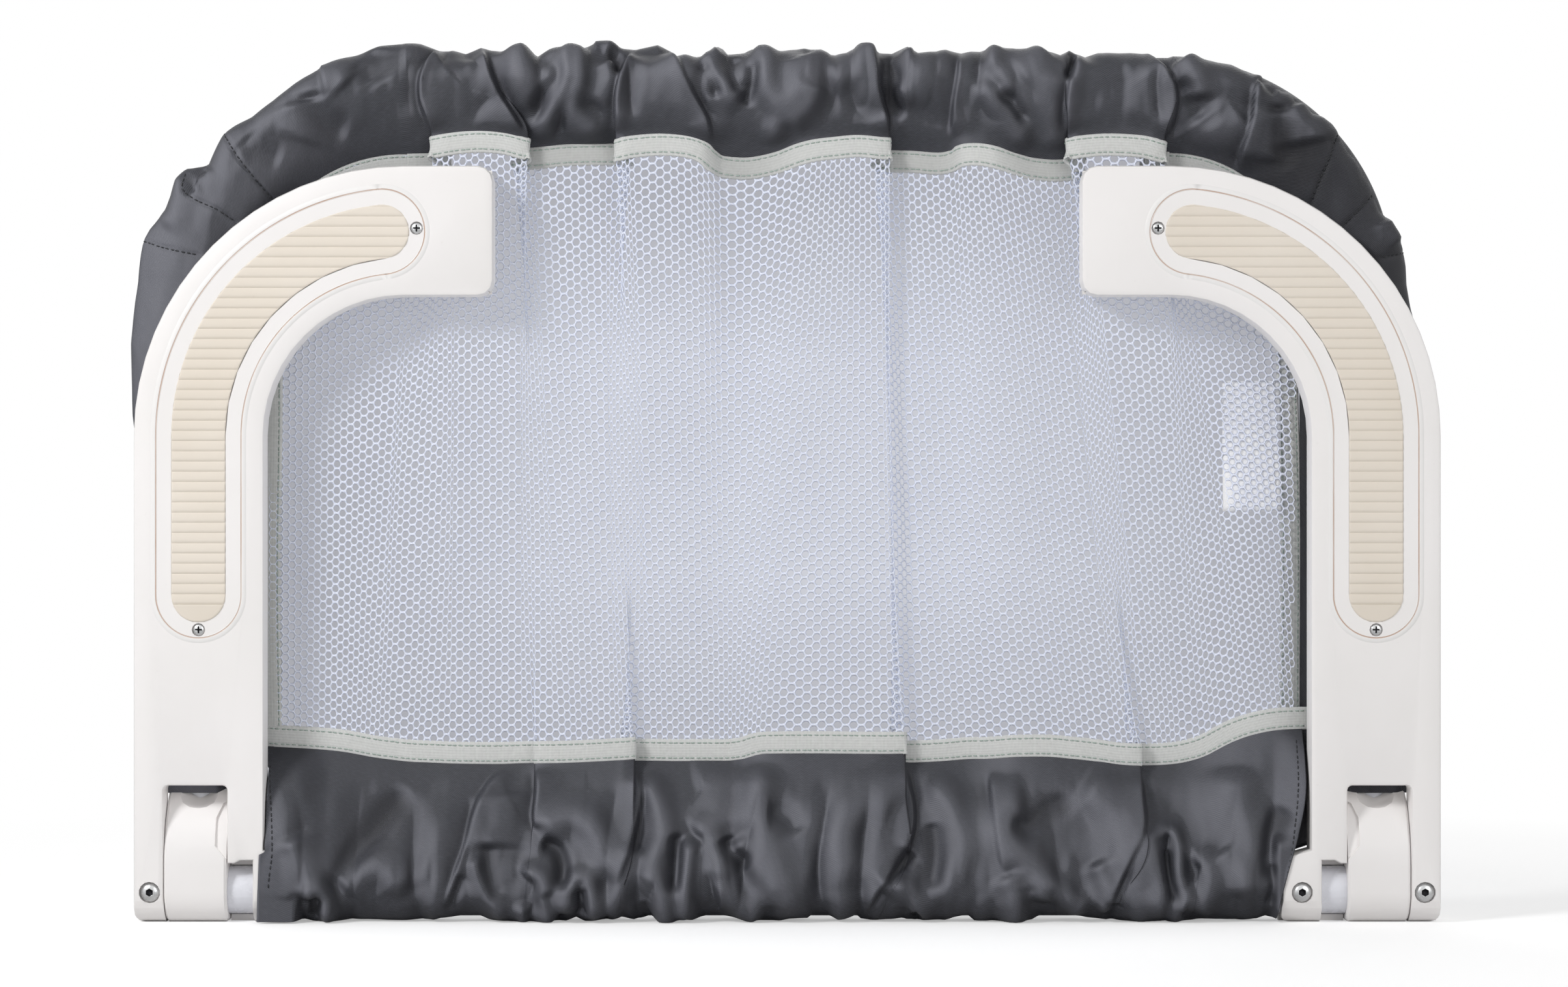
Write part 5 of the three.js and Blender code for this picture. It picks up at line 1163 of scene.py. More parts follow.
RIGHT_OUT = [
    (206.5, 449.1), (215.2, 448.1), (224.9, 445.9), (231.4, 445.0), (241.2, 439.9), (246.6, 439.4),
    (250.9, 435.1), (256.8, 431.0), (261.7, 430.5), (266, 426.4), (272, 418.0), (278, 416.7),
    (283.4, 413.4), (287.7, 407.5), (293.1, 398.3), (299.6, 389.6), (303.9, 382.1), (305.5, 376.1),
    (308.8, 368.0), (313.7, 363.7), (318, 357.2), (321.2, 349.6), (323.4, 339.9), (324.0, 330.1),
    (326, 318), (329, 306.7), (329.5, 280), (328, 240),
]


def bend_profile(points, side):
    """Outward reach beyond the tube's middle line against the way round the bend.

    The way is in degrees, 0 at the bend's top and 90 at its side, and goes on down the upright in mm.
    """
    out = []
    for x, z in points:
        dx, dz = side * x - BEND_X, z - BEND_Z
        if dz >= 0:
            out.append((math.degrees(math.atan2(max(dx, 0), dz)), math.hypot(dx, dz) - TUBE_BEND))
        else:
            out.append((90.0 - dz, side * x - UPRIGHT))
    out.sort()
    return np.array(out)


def outside_leg(x, z):
    """How far a point of the front view lies outside the folded legs, in mm; below 0 it is behind one."""
    x = np.abs(x)
    dx, dz = np.maximum(x - LEG_X, 0), z - LEG_Z
    r = np.hypot(dx, dz)
    band = np.maximum(r - LEG_R, (LEG_R - LEG_WIDE) - r)
    outer, top = LEG_X + LEG_R, LEG_Z + LEG_R
    head = np.maximum.reduce([LEG_HEAD - x, x - LEG_X, z - top, top - LEG_WIDE - z])
    post = np.maximum.reduce([outer - LEG_WIDE - x, x - outer, z - LEG_Z])
    quarter = np.where((x >= LEG_X) & (z >= LEG_Z), band, 1e3)
    return np.minimum(np.minimum(quarter, head), post)


HEM_TUCK = 5.4  # from a tape's middle line to the sleeve's edge under it
BEND_CLOTH = 1.9  # cloth length to a degree of bend
INNER, OUTER = 34, 22  # columns from hem to tube, and from there to the top
LOWER_PART = 0.62  # share of a side of the sleeve from its hem up to the tube's middle
TUBE_REACH = 11.7  # the cloth keeps outside the tube
TOP_FRONT, SIDE_FRONT, SLEEVE_BACK = -1.4, -0.6, 28.6  # depth of the cloth where it passes the tube
HEM_HALF = 0.3  # half the gap between the two edges of a sleeve's hem
LEG_BACK = 0.7  # depth behind which the cloth stays where a leg lies before it
GUSSET_TURN = 54  # degrees round the bend, from its top to the gusset seam


def side_rows(side, points):
    """Rows of one side sleeve, from its foot up the upright and round the bend."""
    outline = bend_profile(points, side)
    foot_reach = 26 if side < 0 else 23
    hem_x = abs(SIDE_TAPE[side]) + HEM_TUCK
    hem_z = TAPE_HIGH[side] + HEM_TUCK
    rows = []
    for z in np.arange(66.0, BEND_Z - 0.1, 2.2):
        reach = np.interp(90 + BEND_Z - z, outline[:, 0], outline[:, 1])
        if z < 262:
            reach = np.interp(z, [150, 262], [foot_reach, reach])
        hem = (side * hem_x, SIDE_HEM_Y, z)
        rows.append(dict(path=(side * UPRIGHT, z), out=(side, 0.0), hem=hem, reach=reach, along=z, kind=side))
    for a in np.arange(90.0, 0.01, -0.72):
        s, c = math.sin(math.radians(a)), math.cos(math.radians(a))
        rows.append(dict(
            path=(side * (BEND_X + TUBE_BEND * s), BEND_Z + TUBE_BEND * c),
            out=(side * s, c),
            hem=(side * (BEND_X + (hem_x - BEND_X) * s), SIDE_HEM_Y, BEND_Z + (hem_z - BEND_Z) * c),
            reach=np.interp(a, outline[:, 0], outline[:, 1]),
            along=BEND_Z + (90 - a) * BEND_CLOTH,
            kind=side,
            angle=a,
        ))
    return rows


def sleeve_grid():
    """Rows of the whole top and side sleeve: left foot, left bend, top, right bend, right foot."""
    rows = side_rows(-1, LEFT_OUT)
    outline = np.array(TOP_OUT)
    w0, w1 = cloth_at(-196.0), cloth_last(199.0, TUBE_TOP)
    ws = np.arange(w0, w1, 1.0)
    for w, h in zip(ws, hem_at(ws)):
        rows.append(dict(
            path=(h[TUBE_TOP], TOP_Z),
            out=(0.0, 1.0),
            hem=(h[0], h[1], h[2] + HEM_TUCK),
            reach=np.interp(h[TUBE_TOP], outline[:, 0], outline[:, 1]) - TOP_Z,
            along=BEND_Z + 90 * BEND_CLOTH + (w - w0),
            kind=0,
            bulge=h[TOP_BULGE],
        ))
    turn = side_rows(1, RIGHT_OUT)[::-1]
    last, first = rows[-1]["along"], turn[0]["along"]
    for row in turn:
        row["along"] = last + (first - row["along"]) + 1.0
    return rows + turn


def grids_of(rows, count):
    """The values of each row, a number or one for each station, as grids of stations by rows."""
    return [np.array([np.broadcast_to(row[k], count) for row in rows]).T for k in range(len(rows[0]))]


def bare_sleeve(hem_y, n_hem, reach, front):
    """The smooth sleeve at every station: its front from hem to top, then its back down to the hem.

    Returns the reach from the tube's middle line, the depth, the share of the way from the hem,
    and the two parts of the normal.
    """
    rows = []
    for y_mid, face in ((front, -1.0), (np.full(len(front), SLEEVE_BACK), 1.0)):
        y_edge = hem_y + HEM_HALF * face
        half = []
        for tau in np.linspace(1, 0, INNER):
            y = y_mid + (y_edge - y_mid) * tau**1.5
            half.append((n_hem * tau, y, (1 - tau) * LOWER_PART, 0.0, face))
        power = 1 + 0.45 * np.clip((reach - 16) / 20, 0, 1)
        for theta in np.linspace(0, math.pi / 2, OUTER)[1:]:
            y = TUBE_Y + (y_mid - TUBE_Y) * max(math.cos(theta), 0.0) ** power
            q = LOWER_PART + (1 - LOWER_PART) * theta / (math.pi / 2)
            half.append((reach * math.sin(theta), y, q, math.sin(theta), face * math.cos(theta)))
        rows += half if face < 0 else half[::-1][1:]
    return grids_of(rows, len(front))


def on_back(q):
    """Which columns of a sleeve are on its back."""
    cols = q.shape[1]
    return np.arange(cols)[None] > cols // 2


def top_relief(x, y, z, q, kind):
    """Height of the folds and gathers over the top and side sleeves."""
    h = folds_at(x, z, TOP_FOLDS)
    loose = step(0.0, 0.35, q)  # the cloth lies flat at its hem and is free from here on
    h = h * (0.35 + 0.65 * step(0.0, 0.12, q))
    over_top = (kind == 0)[:, None] * step(404, 424, z)
    taut = step(146, 156, x) * (1 - step(184, 194, x))  # the puff over the right lug is drawn smooth
    over_top = over_top * (1 - 0.85 * taut)
    h = h + over_top * loose * (4.6 * gathers(x, z, 17.0, 1) + 0.8 * gathers(x, z, 8.5, 2))
    h = h + loose * (1 - over_top) * (1 - taut) * 4.2 * lumps(x, y * 0.5, z, 38.0, 4)
    h = h + loose * (0.9 * lumps(x, y * 0.5, z, 17.0, 1) + 0.4 * lumps(x * 1.6, y * 0.5, z * 0.7, 7.0, 2))
    h = h + np.where(on_back(q), 1.6 * lumps(x * 2.0, 0 * x, z * 0.5, 14.0, 3) * loose, 0)
    crown = step(0.8, 1.0, q)  # the silhouette itself is drawn by the reach
    return soft_limit(h * (1 - 0.75 * crown), 6.0, 10.0)


def sew_sleeves(pts, uv, painted_light_height, cuts):
    """The grid cut at its two gusset seams into the three sleeves."""
    first, second = cuts
    parts = {
        "left_side": slice(0, first + 1),
        "top": slice(first, second + 1),
        "right_side": slice(second, len(pts)),
    }
    objs = {}
    for name, sl in parts.items():
        faces = grid_faces(*pts[sl].shape[:2])
        objs[name] = make("cover_" + name, pts[sl], faces, TWILL, None, uv[sl], relief=painted_light_height[sl])
    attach(objs["left_side"], "left_frame")
    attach(objs["right_side"], "right_frame")
    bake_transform(objs["top"])
    for name, o in objs.items():
        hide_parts(name + "_sleeve")


def build_sleeves():
    """The top sleeve and the two side sleeves, with their folds; returns their grid of points."""
    st = sleeve_grid()
    path, out, hem, reach, along, kind = (
        np.array([s[key] for s in st]) for key in ("path", "out", "hem", "reach", "along", "kind")
    )
    bulge = np.array([s.get("bulge", 0.0) for s in st])
    angles = np.array([s.get("angle", 90.0 * abs(s["kind"])) for s in st])
    n_hem = ((hem[:, [0, 2]] - path) * out).sum(1)
    shift = (hem[:, [0, 2]] - path) - n_hem[:, None] * out  # the hem's slip along the tube, from the folds
    n, y, q, nn, ny = bare_sleeve(hem[:, 1], n_hem, reach, np.where(kind == 0, TOP_FRONT, SIDE_FRONT))
    slip = 1 - step(0.04, 1.0, q)

    def place(n):
        """Where points at reach n from the tube's middle line lie in the front view."""
        x = path[:, 0:1] + out[:, 0:1] * n + shift[:, 0:1] * slip + bulge[:, None] * 4 * slip * (1 - slip)
        z = path[:, 1:2] + out[:, 1:2] * n + shift[:, 1:2] * slip
        return x, z

    x, z = place(n)
    h = top_relief(x, y, z, q, kind)
    # Painted shade round the right bend and painted light round the left one, added to the height the folds'
    # painted light and shade are read from.
    turned = np.select([kind > 0, kind < 0], [-5.5, 3.5]) * step(8, 48, angles)
    painted_light_height = h + turned[:, None] * np.clip(-ny, 0, 1)
    n2, y2 = n + nn * h, y + ny * h
    r = np.hypot(n2, y2 - TUBE_Y)
    grow = np.where(n2 > -9, np.maximum(TUBE_REACH / np.maximum(r, 1e-6), 1.0), 1.0)
    y2 = TUBE_Y + (y2 - TUBE_Y) * grow
    x, z = place(n2 * grow)
    # Behind a leg the cloth keeps off it, and it comes forward only as it leaves the leg.
    clear = outside_leg(x, z)
    low = np.where(clear < 2.0, LEG_BACK, LEG_BACK - (clear - 2.0) * 1.1)
    pts = np.stack([x, np.maximum(y2, low), z], axis=2)
    off_seam = np.abs(angles - GUSSET_TURN)
    cuts = [int(np.argmin(np.where(kind == side, off_seam, 1e3))) for side in (-1, 1)]
    sew_sleeves(pts, cloth_uv(along, pts), painted_light_height, cuts)
    return pts


SLEEVE_POINTS = build_sleeves()


# Bottom sleeve

LOW_TUBE_Z = 16  # height of the bottom tube's middle line
BOTTOM_LOWER = 0.78  # share of a side of the sleeve from its hem down to the tube's middle
BOTTOM_REACH = 13.4  # the cloth keeps outside the bottom tube
BOTTOM_FRONT, BOTTOM_BACK = -15.2, 14.6  # depth of the cloth where it passes the tube
LUG_FRONT = 2.9  # how much further forward it lies before the hinge lugs
LUG_FACE, LUG_INNER = -17.4, 253.4  # the cloth stays before this depth and inside this x at the lugs
LEG_EDGE = 268.9  # x of the cloth beside the arm
LIP = 4  # rows turned in at each end, which give the cut edges their thickness
LIP_IN = 0.9
LIP_MIDDLE = 8.0  # depth between the sleeve's front and back, toward which the lips turn

# Outline of the sleeve's underside in the photo, as (x, z)
BOTTOM_OUT = [
    (-276, 1.8), (-271.3, 2.1), (-259.9, 1.6), (-249.1, 0.9), (-244.7, 1.8), (-238.3, 0), (-225.6, 0.7),
    (-216.7, 2.4), (-205.3, 1.7), (-185, 1.7), (-179.9, 3.8), (-168.5, 4.4), (-161.5, 5.5), (-154.5, 2.7),
    (-148.1, 2.0), (-138, 2.0), (-133.5, 3.4), (-130.4, 3.8), (-124, 2.7), (-115.7, 2.0), (-109.4, 4.8),
    (-102.4, 1.5), (-92.3, 2.0), (-85.9, 4.4), (-79.4, 2.6), (-70, 4.4), (-66.7, 1.0), (-58.3, 1.0),
    (-53.4, 1.0), (-45, 4.0), (-37.8, 5.3), (-30.6, 4.6), (-23.3, 3.6), (-16.1, 2.0), (-6.5, 2.0),
    (0.8, 3.6), (5.6, 4.0), (10.4, 4.0), (12.8, 5.6), (20.7, 5.6), (26.1, 3.0), (35.7, 5.3), (38.7, 2.0),
    (47.8, 3.0), (59.8, 3.3), (64.6, 1.5), (71.9, 2.6), (81.5, 2.6), (90, 5.3), (93.6, 5.7), (98, 1.3),
    (108.4, 0), (122.1, 0.3), (131.5, 4.8), (140.9, 4.8), (145.9, 5.8), (154.6, 3.9), (165.8, 2.4),
    (178.3, 1.7), (190.8, 2.4), (197, 2.7), (203.3, 1.7), (212, 2.7), (228.2, 2.4), (243.2, 2.7),
    (247.6, 4.1), (251.9, 3.7), (255.7, 5.1), (276, 5.0),
]


def bare_bottom(y_hem, z_hem, z_low, ends):
    """The smooth bottom sleeve at every station: its front from hem to underside, then its back up again.

    Returns the height, the depth, the share of the way from the hem, and the two parts of the normal.
    """
    count = len(ends)
    front = BOTTOM_FRONT - LUG_FRONT * ends
    rows = []
    for y_mid, power, face in ((front, 1.75 + 1.6 * ends, -1.0), (np.full(count, BOTTOM_BACK), 1.35, 1.0)):
        y_edge = y_hem + HEM_HALF * face
        half = []
        for tau in np.linspace(1, 0, 50):
            z = LOW_TUBE_Z + (z_hem - LOW_TUBE_Z) * tau
            y = y_mid + (y_edge - y_mid) * tau**power
            half.append((z, y, (1 - tau) * BOTTOM_LOWER, 0.0, face))
        for theta in np.linspace(0, math.pi / 2, OUTER)[1:]:
            z = LOW_TUBE_Z - (LOW_TUBE_Z - z_low) * math.sin(theta)
            y = y_mid * max(math.cos(theta), 0.0) ** 0.9
            q = BOTTOM_LOWER + (1 - BOTTOM_LOWER) * theta / (math.pi / 2)
            half.append((z, y, q, -math.sin(theta), face * math.cos(theta)))
        rows += half if face < 0 else half[::-1][1:]
    return grids_of(rows, count)


def bottom_relief(x, y, z, q):
    """Height of the folds and gathers over the bottom sleeve."""
    h = folds_at(x, z, BOTTOM_FOLDS)
    loose = step(0.0, 0.3, q)  # the cloth lies flat at its hem and is free from here on
    h = h * (0.3 + 0.7 * step(0.0, 0.15, q))
    drawn = step(84, 48, z)
    fine = 0.9 * step(48, 20, z) * gathers(x, z, 9.0, 6)
    h = h + loose * drawn * (5.2 * gathers(x, z, 19.0, 5, 0.27) + fine)
    h = h + loose * (1.1 * lumps(x, y * 0.4, z, 19.0, 5) + 0.4 * lumps(x * 1.5, y * 0.4, z * 0.6, 8.0, 6))
    h = h + np.where(on_back(q), 1.8 * lumps(x * 2.0, 0 * x, z * 0.4, 16.0, 7) * loose, 0)
    tidy = np.maximum(step(-250, -262, x), step(246, 257, x)) * step(44, 34, z)  # flat beside the legs
    h = h * (1 - 0.7 * step(0.88, 1.0, q)) * (1 - 0.75 * tidy)
    return soft_limit(h, 6.0, 10.5)


def clear_of_legs(x, y, z, back, ny, part):
    """The sleeve's ends moved clear of the legs and their hinge lugs."""
    # Beside the legs the cloth runs down past the arm, and in front of the hinge lug below.
    lug = step(249, 254, np.abs(x)) * step(47, 39, z) * (~back & (ny < -0.2))
    y = y + (np.minimum(y, LUG_FACE) - y) * lug
    # It doesn't go on under the lug, whose bolt turns down there when the leg is swung out.
    under = step(9, 4, z) * step(-17.2, -14.0, y)
    x = x + (np.clip(x, -LUG_INNER, LUG_INNER) - x) * under
    # Its hem passes behind the arm, and on the left it stops short of the arm's foot.
    hem_end = (np.abs(x) > LEG_EDGE - 0.3) & (z > 79)
    y = np.where(hem_end, np.maximum(y, 0.8), y)
    x = np.where((x < -LEG_EDGE) & (z > 36) & (z <= 79), -LEG_EDGE, x)
    # On the right the back runs on behind the leg.
    x = x + 13.0 * back * (part > 0.9)[:, None] * step(33, 40, z) * step(250, 252, x)
    return x, y


def with_lips(rows):
    """The rows with the first and the last few repeated backwards."""
    return np.concatenate([rows[:LIP][::-1], rows, rows[-LIP:][::-1]])


def build_bottom_sleeve():
    """The bottom sleeve, with its folds; returns its grid of points."""
    outline = np.array(BOTTOM_OUT)
    ws = np.arange(cloth_at(-271.0, LOW_HEM), cloth_at(268.4, LOW_HEM) + 0.01, 1.0)
    hem = hem_at(ws)
    x_hem, y_hem, z_hem = hem[:, LOW_HEM], hem[:, LOW_HEM + 1], hem[:, LOW_HEM + 2] - HEM_TUCK
    x_end, bulge = hem[:, TUBE_LOW], hem[:, LOW_BULGE]
    part = (ws - ws[0]) / (ws[-1] - ws[0])
    x_end = x_end + (-273.0 - x_end[0]) * step(0.12, 0, part) + (252.0 - x_end[-1]) * step(0.88, 1, part)
    z_low = np.maximum(np.interp(x_end, outline[:, 0], outline[:, 1]) - 2.2, 0.3)
    ends = np.maximum(step(-236, -256, x_end), step(238, 254, x_end))
    z, y, q, nz, ny = bare_bottom(y_hem, z_hem, z_low, ends)
    slip = 1 - step(0.22, 1.0, q)
    x = x_hem[:, None] * slip + x_end[:, None] * (1 - slip) + bulge[:, None] * 4 * slip * (1 - slip)
    h = bottom_relief(x, y, z, q)
    z2, y2 = z + nz * h, y + ny * h
    r = np.hypot(z2 - LOW_TUBE_Z, y2)
    grow = np.where(z2 < 26, np.maximum(BOTTOM_REACH / np.maximum(r, 1e-6), 1.0), 1.0)
    z2 = np.maximum(LOW_TUBE_Z + (z2 - LOW_TUBE_Z) * grow, 0.25)
    x, y2 = clear_of_legs(x, y2 * grow, z2, on_back(q), ny, part)
    pts = with_lips(np.stack([x, y2, z2], axis=2))
    for lip in (pts[:LIP], pts[-LIP:]):
        lip[..., 1] += np.where(lip[..., 1] < LIP_MIDDLE, LIP_IN, -LIP_IN)
    uv = cloth_uv(with_lips(ws), pts)
    obj = make("cover_bottom", pts, grid_faces(*pts.shape[:2]), TWILL, None, uv, relief=with_lips(h))
    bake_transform(obj)
    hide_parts("bottom_sleeve")
    wide, deep, area = cut_of(pts)
    area = min(area, wide * deep)
    return pts


BOTTOM_POINTS = build_bottom_sleeve()


# Net

NET_TALL = 306.0  # cloth length between the hems
NET_CELL = (3.35, 4.75)  # width and height of a cell
NET_HOLE = 0.72  # the hole's share of it
YARN_HALF = 0.35  # half the thickness of the yarn
# Sharp folds as first and last hem station, and how far each opens half way down
NET_FOLDS = ((3, 7, 0.9), (12, 15, 0.92), (19, 23, 0.96), (39, 42, 0.6), (55, 59, 0.97), (64, 67, 0.85))


def net_point(w, v):
    """A point of the net: w is cloth length across, v runs 0 at the top hem to 1 at the bottom hem."""
    row = hem_at(w)
    top, low = row[..., 0:3], row[..., 3:6]
    v = np.asarray(v, float)[..., None]
    return top * (1 - v) + low * v


def fold_groups():
    """Cloth length at the start and the end of each sharp fold, with how far it opens half way down."""
    groups = []
    for first, last, ease in NET_FOLDS:
        wa, wb = (float(np.interp(HEM_KNOTS[k], HEM_FINE, CLOTH)) for k in (first - 1, last + 1))
        groups.append((wa, wb, ease))
    return groups


GROUPS = fold_groups()


def net_surface(w, v):
    """The net with its folds eased between the hems."""
    w, v = np.asarray(w, float), np.asarray(v, float)
    p = net_point(w, v)
    ease_v = np.sin(math.pi * np.clip(v, 0, 1)) ** 0.8
    for wa, wb, ease in GROUPS:
        inside = (w > wa) & (w < wb)
        if not inside.any():
            continue
        f = ((w - wa) / (wb - wa))[inside]
        a = net_point(np.full(f.shape, wa), v[inside])
        b = net_point(np.full(f.shape, wb), v[inside])
        straight = a + (b - a) * (f * f * (3 - 2 * f))[:, None]
        k = (ease * ease_v[inside])[:, None]
        p[inside] = p[inside] * (1 - k) + straight * k
    p[..., 1] += 1.3 * lumps(p[..., 0] * 1.5, 0 * v, p[..., 2] * 0.35, 26.0, 11) * ease_v
    p[..., 1] = np.maximum(p[..., 1], 1.2)
    return p


def build_net():
    """The open net: a flat ring of yarn for each cell. Returns the piece and its cut width and height."""
    length = NET_TALL
    across, down = NET_CELL
    rad, half = across / 1.5, down / 2  # hexagon reach and half height
    w0, w1 = cloth_at(-270.5) - 1, cloth_last(264.5) + 1
    columns = int((w1 - w0) / across)
    levels = int(length / down) + 1
    outer, inner = [], []
    for k in range(6):
        a = math.radians(60 * k)
        outer.append((rad * math.cos(a), 2 * half * math.sin(a) / math.sqrt(3)))
    for k in range(12):
        a = math.radians(30 * k)
        inner.append((NET_HOLE * rad * math.cos(a), NET_HOLE * half * math.sin(a)))
    centres = []
    for i in range(columns + 1):
        for j in range(-1, levels + 1):
            centres.append((w0 + i * across, j * down + (half if i % 2 else 0)))
    centres = np.array(centres)
    mid = net_surface(centres[:, 0], centres[:, 1] / length)
    x, z = mid[:, 0], mid[:, 2]
    keep = (centres[:, 1] > -3) & (centres[:, 1] < length + 3)
    keep &= (x > -270.0) & (x < 263.0)
    for side in (-1, 1):
        dx, dz = (x * side - BEND_X), z - BEND_Z
        far = (dx > 0) & (dz > 0) & ((dx / (abs(SIDE_TAPE[side]) - BEND_X + 1.5)) ** 2 + (dz / 62.5) ** 2 > 1)
        keep &= ~far
    centres = centres[keep]
    count = len(centres)
    rim = np.stack([centres + corner for corner in outer], axis=1).reshape(-1, 2)
    hole = np.stack([centres + corner for corner in inner], axis=1).reshape(-1, 2)
    key = np.round(rim * 4).astype(np.int64)  # corners that fall together become one point
    _, first, index = np.unique(key, axis=0, return_index=True, return_inverse=True)
    shared = rim[first]

    def place(flat):
        """Points of the net's flat cut laid on its surface, with the surface's normals."""
        v = flat[:, 1] / length
        p = net_surface(flat[:, 0], v)
        a = net_surface(flat[:, 0] + 0.6, v) - net_surface(flat[:, 0] - 0.6, v)
        b = net_surface(flat[:, 0], v + 0.003) - net_surface(flat[:, 0], v - 0.003)
        nrm = np.cross(a, b)
        nrm /= np.maximum(np.linalg.norm(nrm, axis=1), 1e-9)[:, None]
        return p, nrm

    p_rim, n_rim = place(shared)
    p_hole, _ = place(hole)
    verts = np.concatenate([p_rim + n_rim * YARN_HALF, p_rim - n_rim * YARN_HALF, p_hole])
    base_back, base_hole = len(shared), 2 * len(shared)
    rim_id = np.ravel(index).reshape(count, 6)
    hole_id = base_hole + np.arange(count * 12).reshape(count, 12)
    faces = []
    for k in range(6):
        o, p = rim_id[:, k], rim_id[:, (k + 1) % 6]
        a, b, c = hole_id[:, 2 * k], hole_id[:, 2 * k + 1], hole_id[:, (2 * k + 2) % 12]
        faces += [np.stack([o, p, b], 1), np.stack([o, b, a], 1), np.stack([p, c, b], 1)]
        o, p = o + base_back, p + base_back
        faces += [np.stack([o, b, p], 1), np.stack([o, a, b], 1), np.stack([p, b, c], 1)]
    faces = np.concatenate(faces)
    obj = make("cover_net", verts, faces, NET)
    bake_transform(obj)
    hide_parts("mesh_panel")
    return obj, (w1 - w0, length)


NET_OBJ, NET_CUT = build_net()


# Binding tapes and stitches

STITCH_ROW = 3.9  # from a tape's middle line to its rows of stitches
TAPE_FACE = 0.62  # from a tape's middle out to its two stitched faces


def tape_strip(name, path, up, facing, half=5.9, thick=0.75):
    """A flat sewn tape along a path; up is across its width, facing its front.

    Its edges are rounded, and it dips along the two stitch rows.
    """
    section = []
    for side in (1, -1):
        span = np.linspace(-1, 1, 13)
        for f in span if side > 0 else span[::-1]:
            t = thick * (1 - 0.55 * abs(f) ** 8)
            t -= 0.28 * (math.exp(-((abs(f) - 0.66) / 0.09) ** 2))
            section.append((f * half, side * t))
    sec = np.array(section)
    grid = path[:, None, :] + up[:, None, :] * sec[None, :, 0:1] + facing[:, None, :] * sec[None, :, 1:2]
    rows, cols = grid.shape[:2]
    along = np.broadcast_to(run_of(path)[:, None], (rows, cols))
    across = np.broadcast_to(sec[None, :, 0], (rows, cols))
    uv = np.stack([along, across], axis=2)
    return make(name, grid, solid_faces(rows, cols), TAPE, None, uv, closed=True)


def point_at(length, run, rows):
    """The row of a path at a length along it."""
    return np.array([np.interp(length, run, rows[:, c]) for c in range(3)])


def stitches(name, lines, mat, pitch=3.0, length=2.3, width=0.62, lift=0.12):
    """Sewn stitches: a small sunk capsule every pitch along each (path, facing) line."""
    ring = 6
    spec = ((0, -0.18, 0.25), (0.12, 0.05, 0.9), (0.5, lift + 0.1, 1.0), (0.88, 0.05, 0.9), (1, -0.18, 0.25))
    verts, faces = [], []
    for path, facing in lines:
        run = run_of(path)
        for k, mid in enumerate(np.arange(pitch * 0.6, run[-1] - pitch * 0.4, pitch)):
            mid += 0.25 * math.sin(k * 2.4)
            first, last = (point_at(mid + o * length / 2, run, path) for o in (-1, 1))
            face = norm(point_at(mid, run, facing))
            along = norm(last - first)
            over = norm(np.cross(along, face))
            tilt = 0.12 * math.sin(k * 1.7)
            base = len(verts)
            for f, rise, fat in spec:
                c = first * (1 - f) + last * f + over * tilt * (f - 0.5) + face * rise
                for m in range(ring):
                    a = 2 * math.pi * m / ring
                    sideways = over * math.cos(a) * width * 0.5 * fat
                    verts.append(c + sideways + face * math.sin(a) * width * 0.42 * fat)
            for s in range(len(spec) - 1):
                for m in range(ring):
                    a, b = base + s * ring + m, base + s * ring + (m + 1) % ring
                    faces.append((a, b, b + ring, a + ring))
            faces.append(tuple(base + m for m in range(ring))[::-1])
            faces.append(tuple(base + (len(spec) - 1) * ring + m for m in range(ring)))
    return make(name, verts, faces, mat, closed=True)


def stitch_lines(path, up, facing):
    """The rows of stitches on a tape, two on its front and two on its back."""
    lines = []
    for o in (-STITCH_ROW, STITCH_ROW):
        for s in (1, -1):
            lines.append((path + up * o + facing * (s * TAPE_FACE), facing * s))
    return lines


def hem_tape(which, column, ws):
    """The binding along a hem of the net, with its stitches; it runs between the two frames."""
    path = hem_at(ws)[:, column : column + 3]
    flat = path.copy()
    flat[:, 2] = 0
    t = norm(np.gradient(flat, axis=0))
    facing = np.stack([t[:, 1], -t[:, 0], 0 * t[:, 0]], axis=1)
    for _ in range(2):
        facing[1:-1] = norm(facing[:-2] + facing[1:-1] + facing[2:])
    up = norm(np.cross(facing, norm(np.gradient(path, axis=0))))
    up *= np.sign(up[:, 2:3] + 1e-9)
    strip = tape_strip("tape_" + which, path, up, facing)
    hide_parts(which + "_binding")
    thread = stitches("thread_" + which, stitch_lines(path, up, facing), MINT)
    for piece in (strip, thread):
        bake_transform(piece)


def side_tape(side, name):
    """The binding down one side of the net, with its corner to the top tape and its stitches."""
    x_tape, z_top = abs(SIDE_TAPE[side]), TAPE_HIGH[side]
    points = [(side * 184.0, 13.6, z_top)]
    for a in np.arange(0, 90.1, 4.5):
        s, c = math.sin(math.radians(a)), math.cos(math.radians(a))
        points.append((side * (BEND_X + (x_tape - BEND_X) * s), 12.9, BEND_Z + (z_top - BEND_Z) * c))
    for z in np.arange(315, 96, -18.0):
        wave = 0.5 * math.sin(z / 31.0 + side) + (0.9 * math.sin(z / 70.0) if side > 0 else 0)
        points.append((side * x_tape + wave, 12.7, z))
    path = smooth_path(points, 1.0)
    facing = np.tile([0.0, -1.0, 0.0], (len(path), 1))
    up = norm(np.cross(facing, norm(np.gradient(path, axis=0))))
    strip = tape_strip("tape_" + name, path, up, facing, half=5.6)
    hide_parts(name + "_side_binding")
    thread = stitches("thread_" + name, stitch_lines(path, up, facing), MINT)
    for piece in (strip, thread):
        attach(piece, name + "_frame")


top_run = np.arange(cloth_at(-187.0) - 9, cloth_last(190.0) + 9, 0.8)
bottom_run = np.arange(cloth_at(-274.0, LOW_HEM), cloth_at(273.0, LOW_HEM), 0.8)
hem_tape("top", TOP_HEM, top_run)
hem_tape("bottom", LOW_HEM, bottom_run)
side_tape(-1, "left")
side_tape(1, "right")


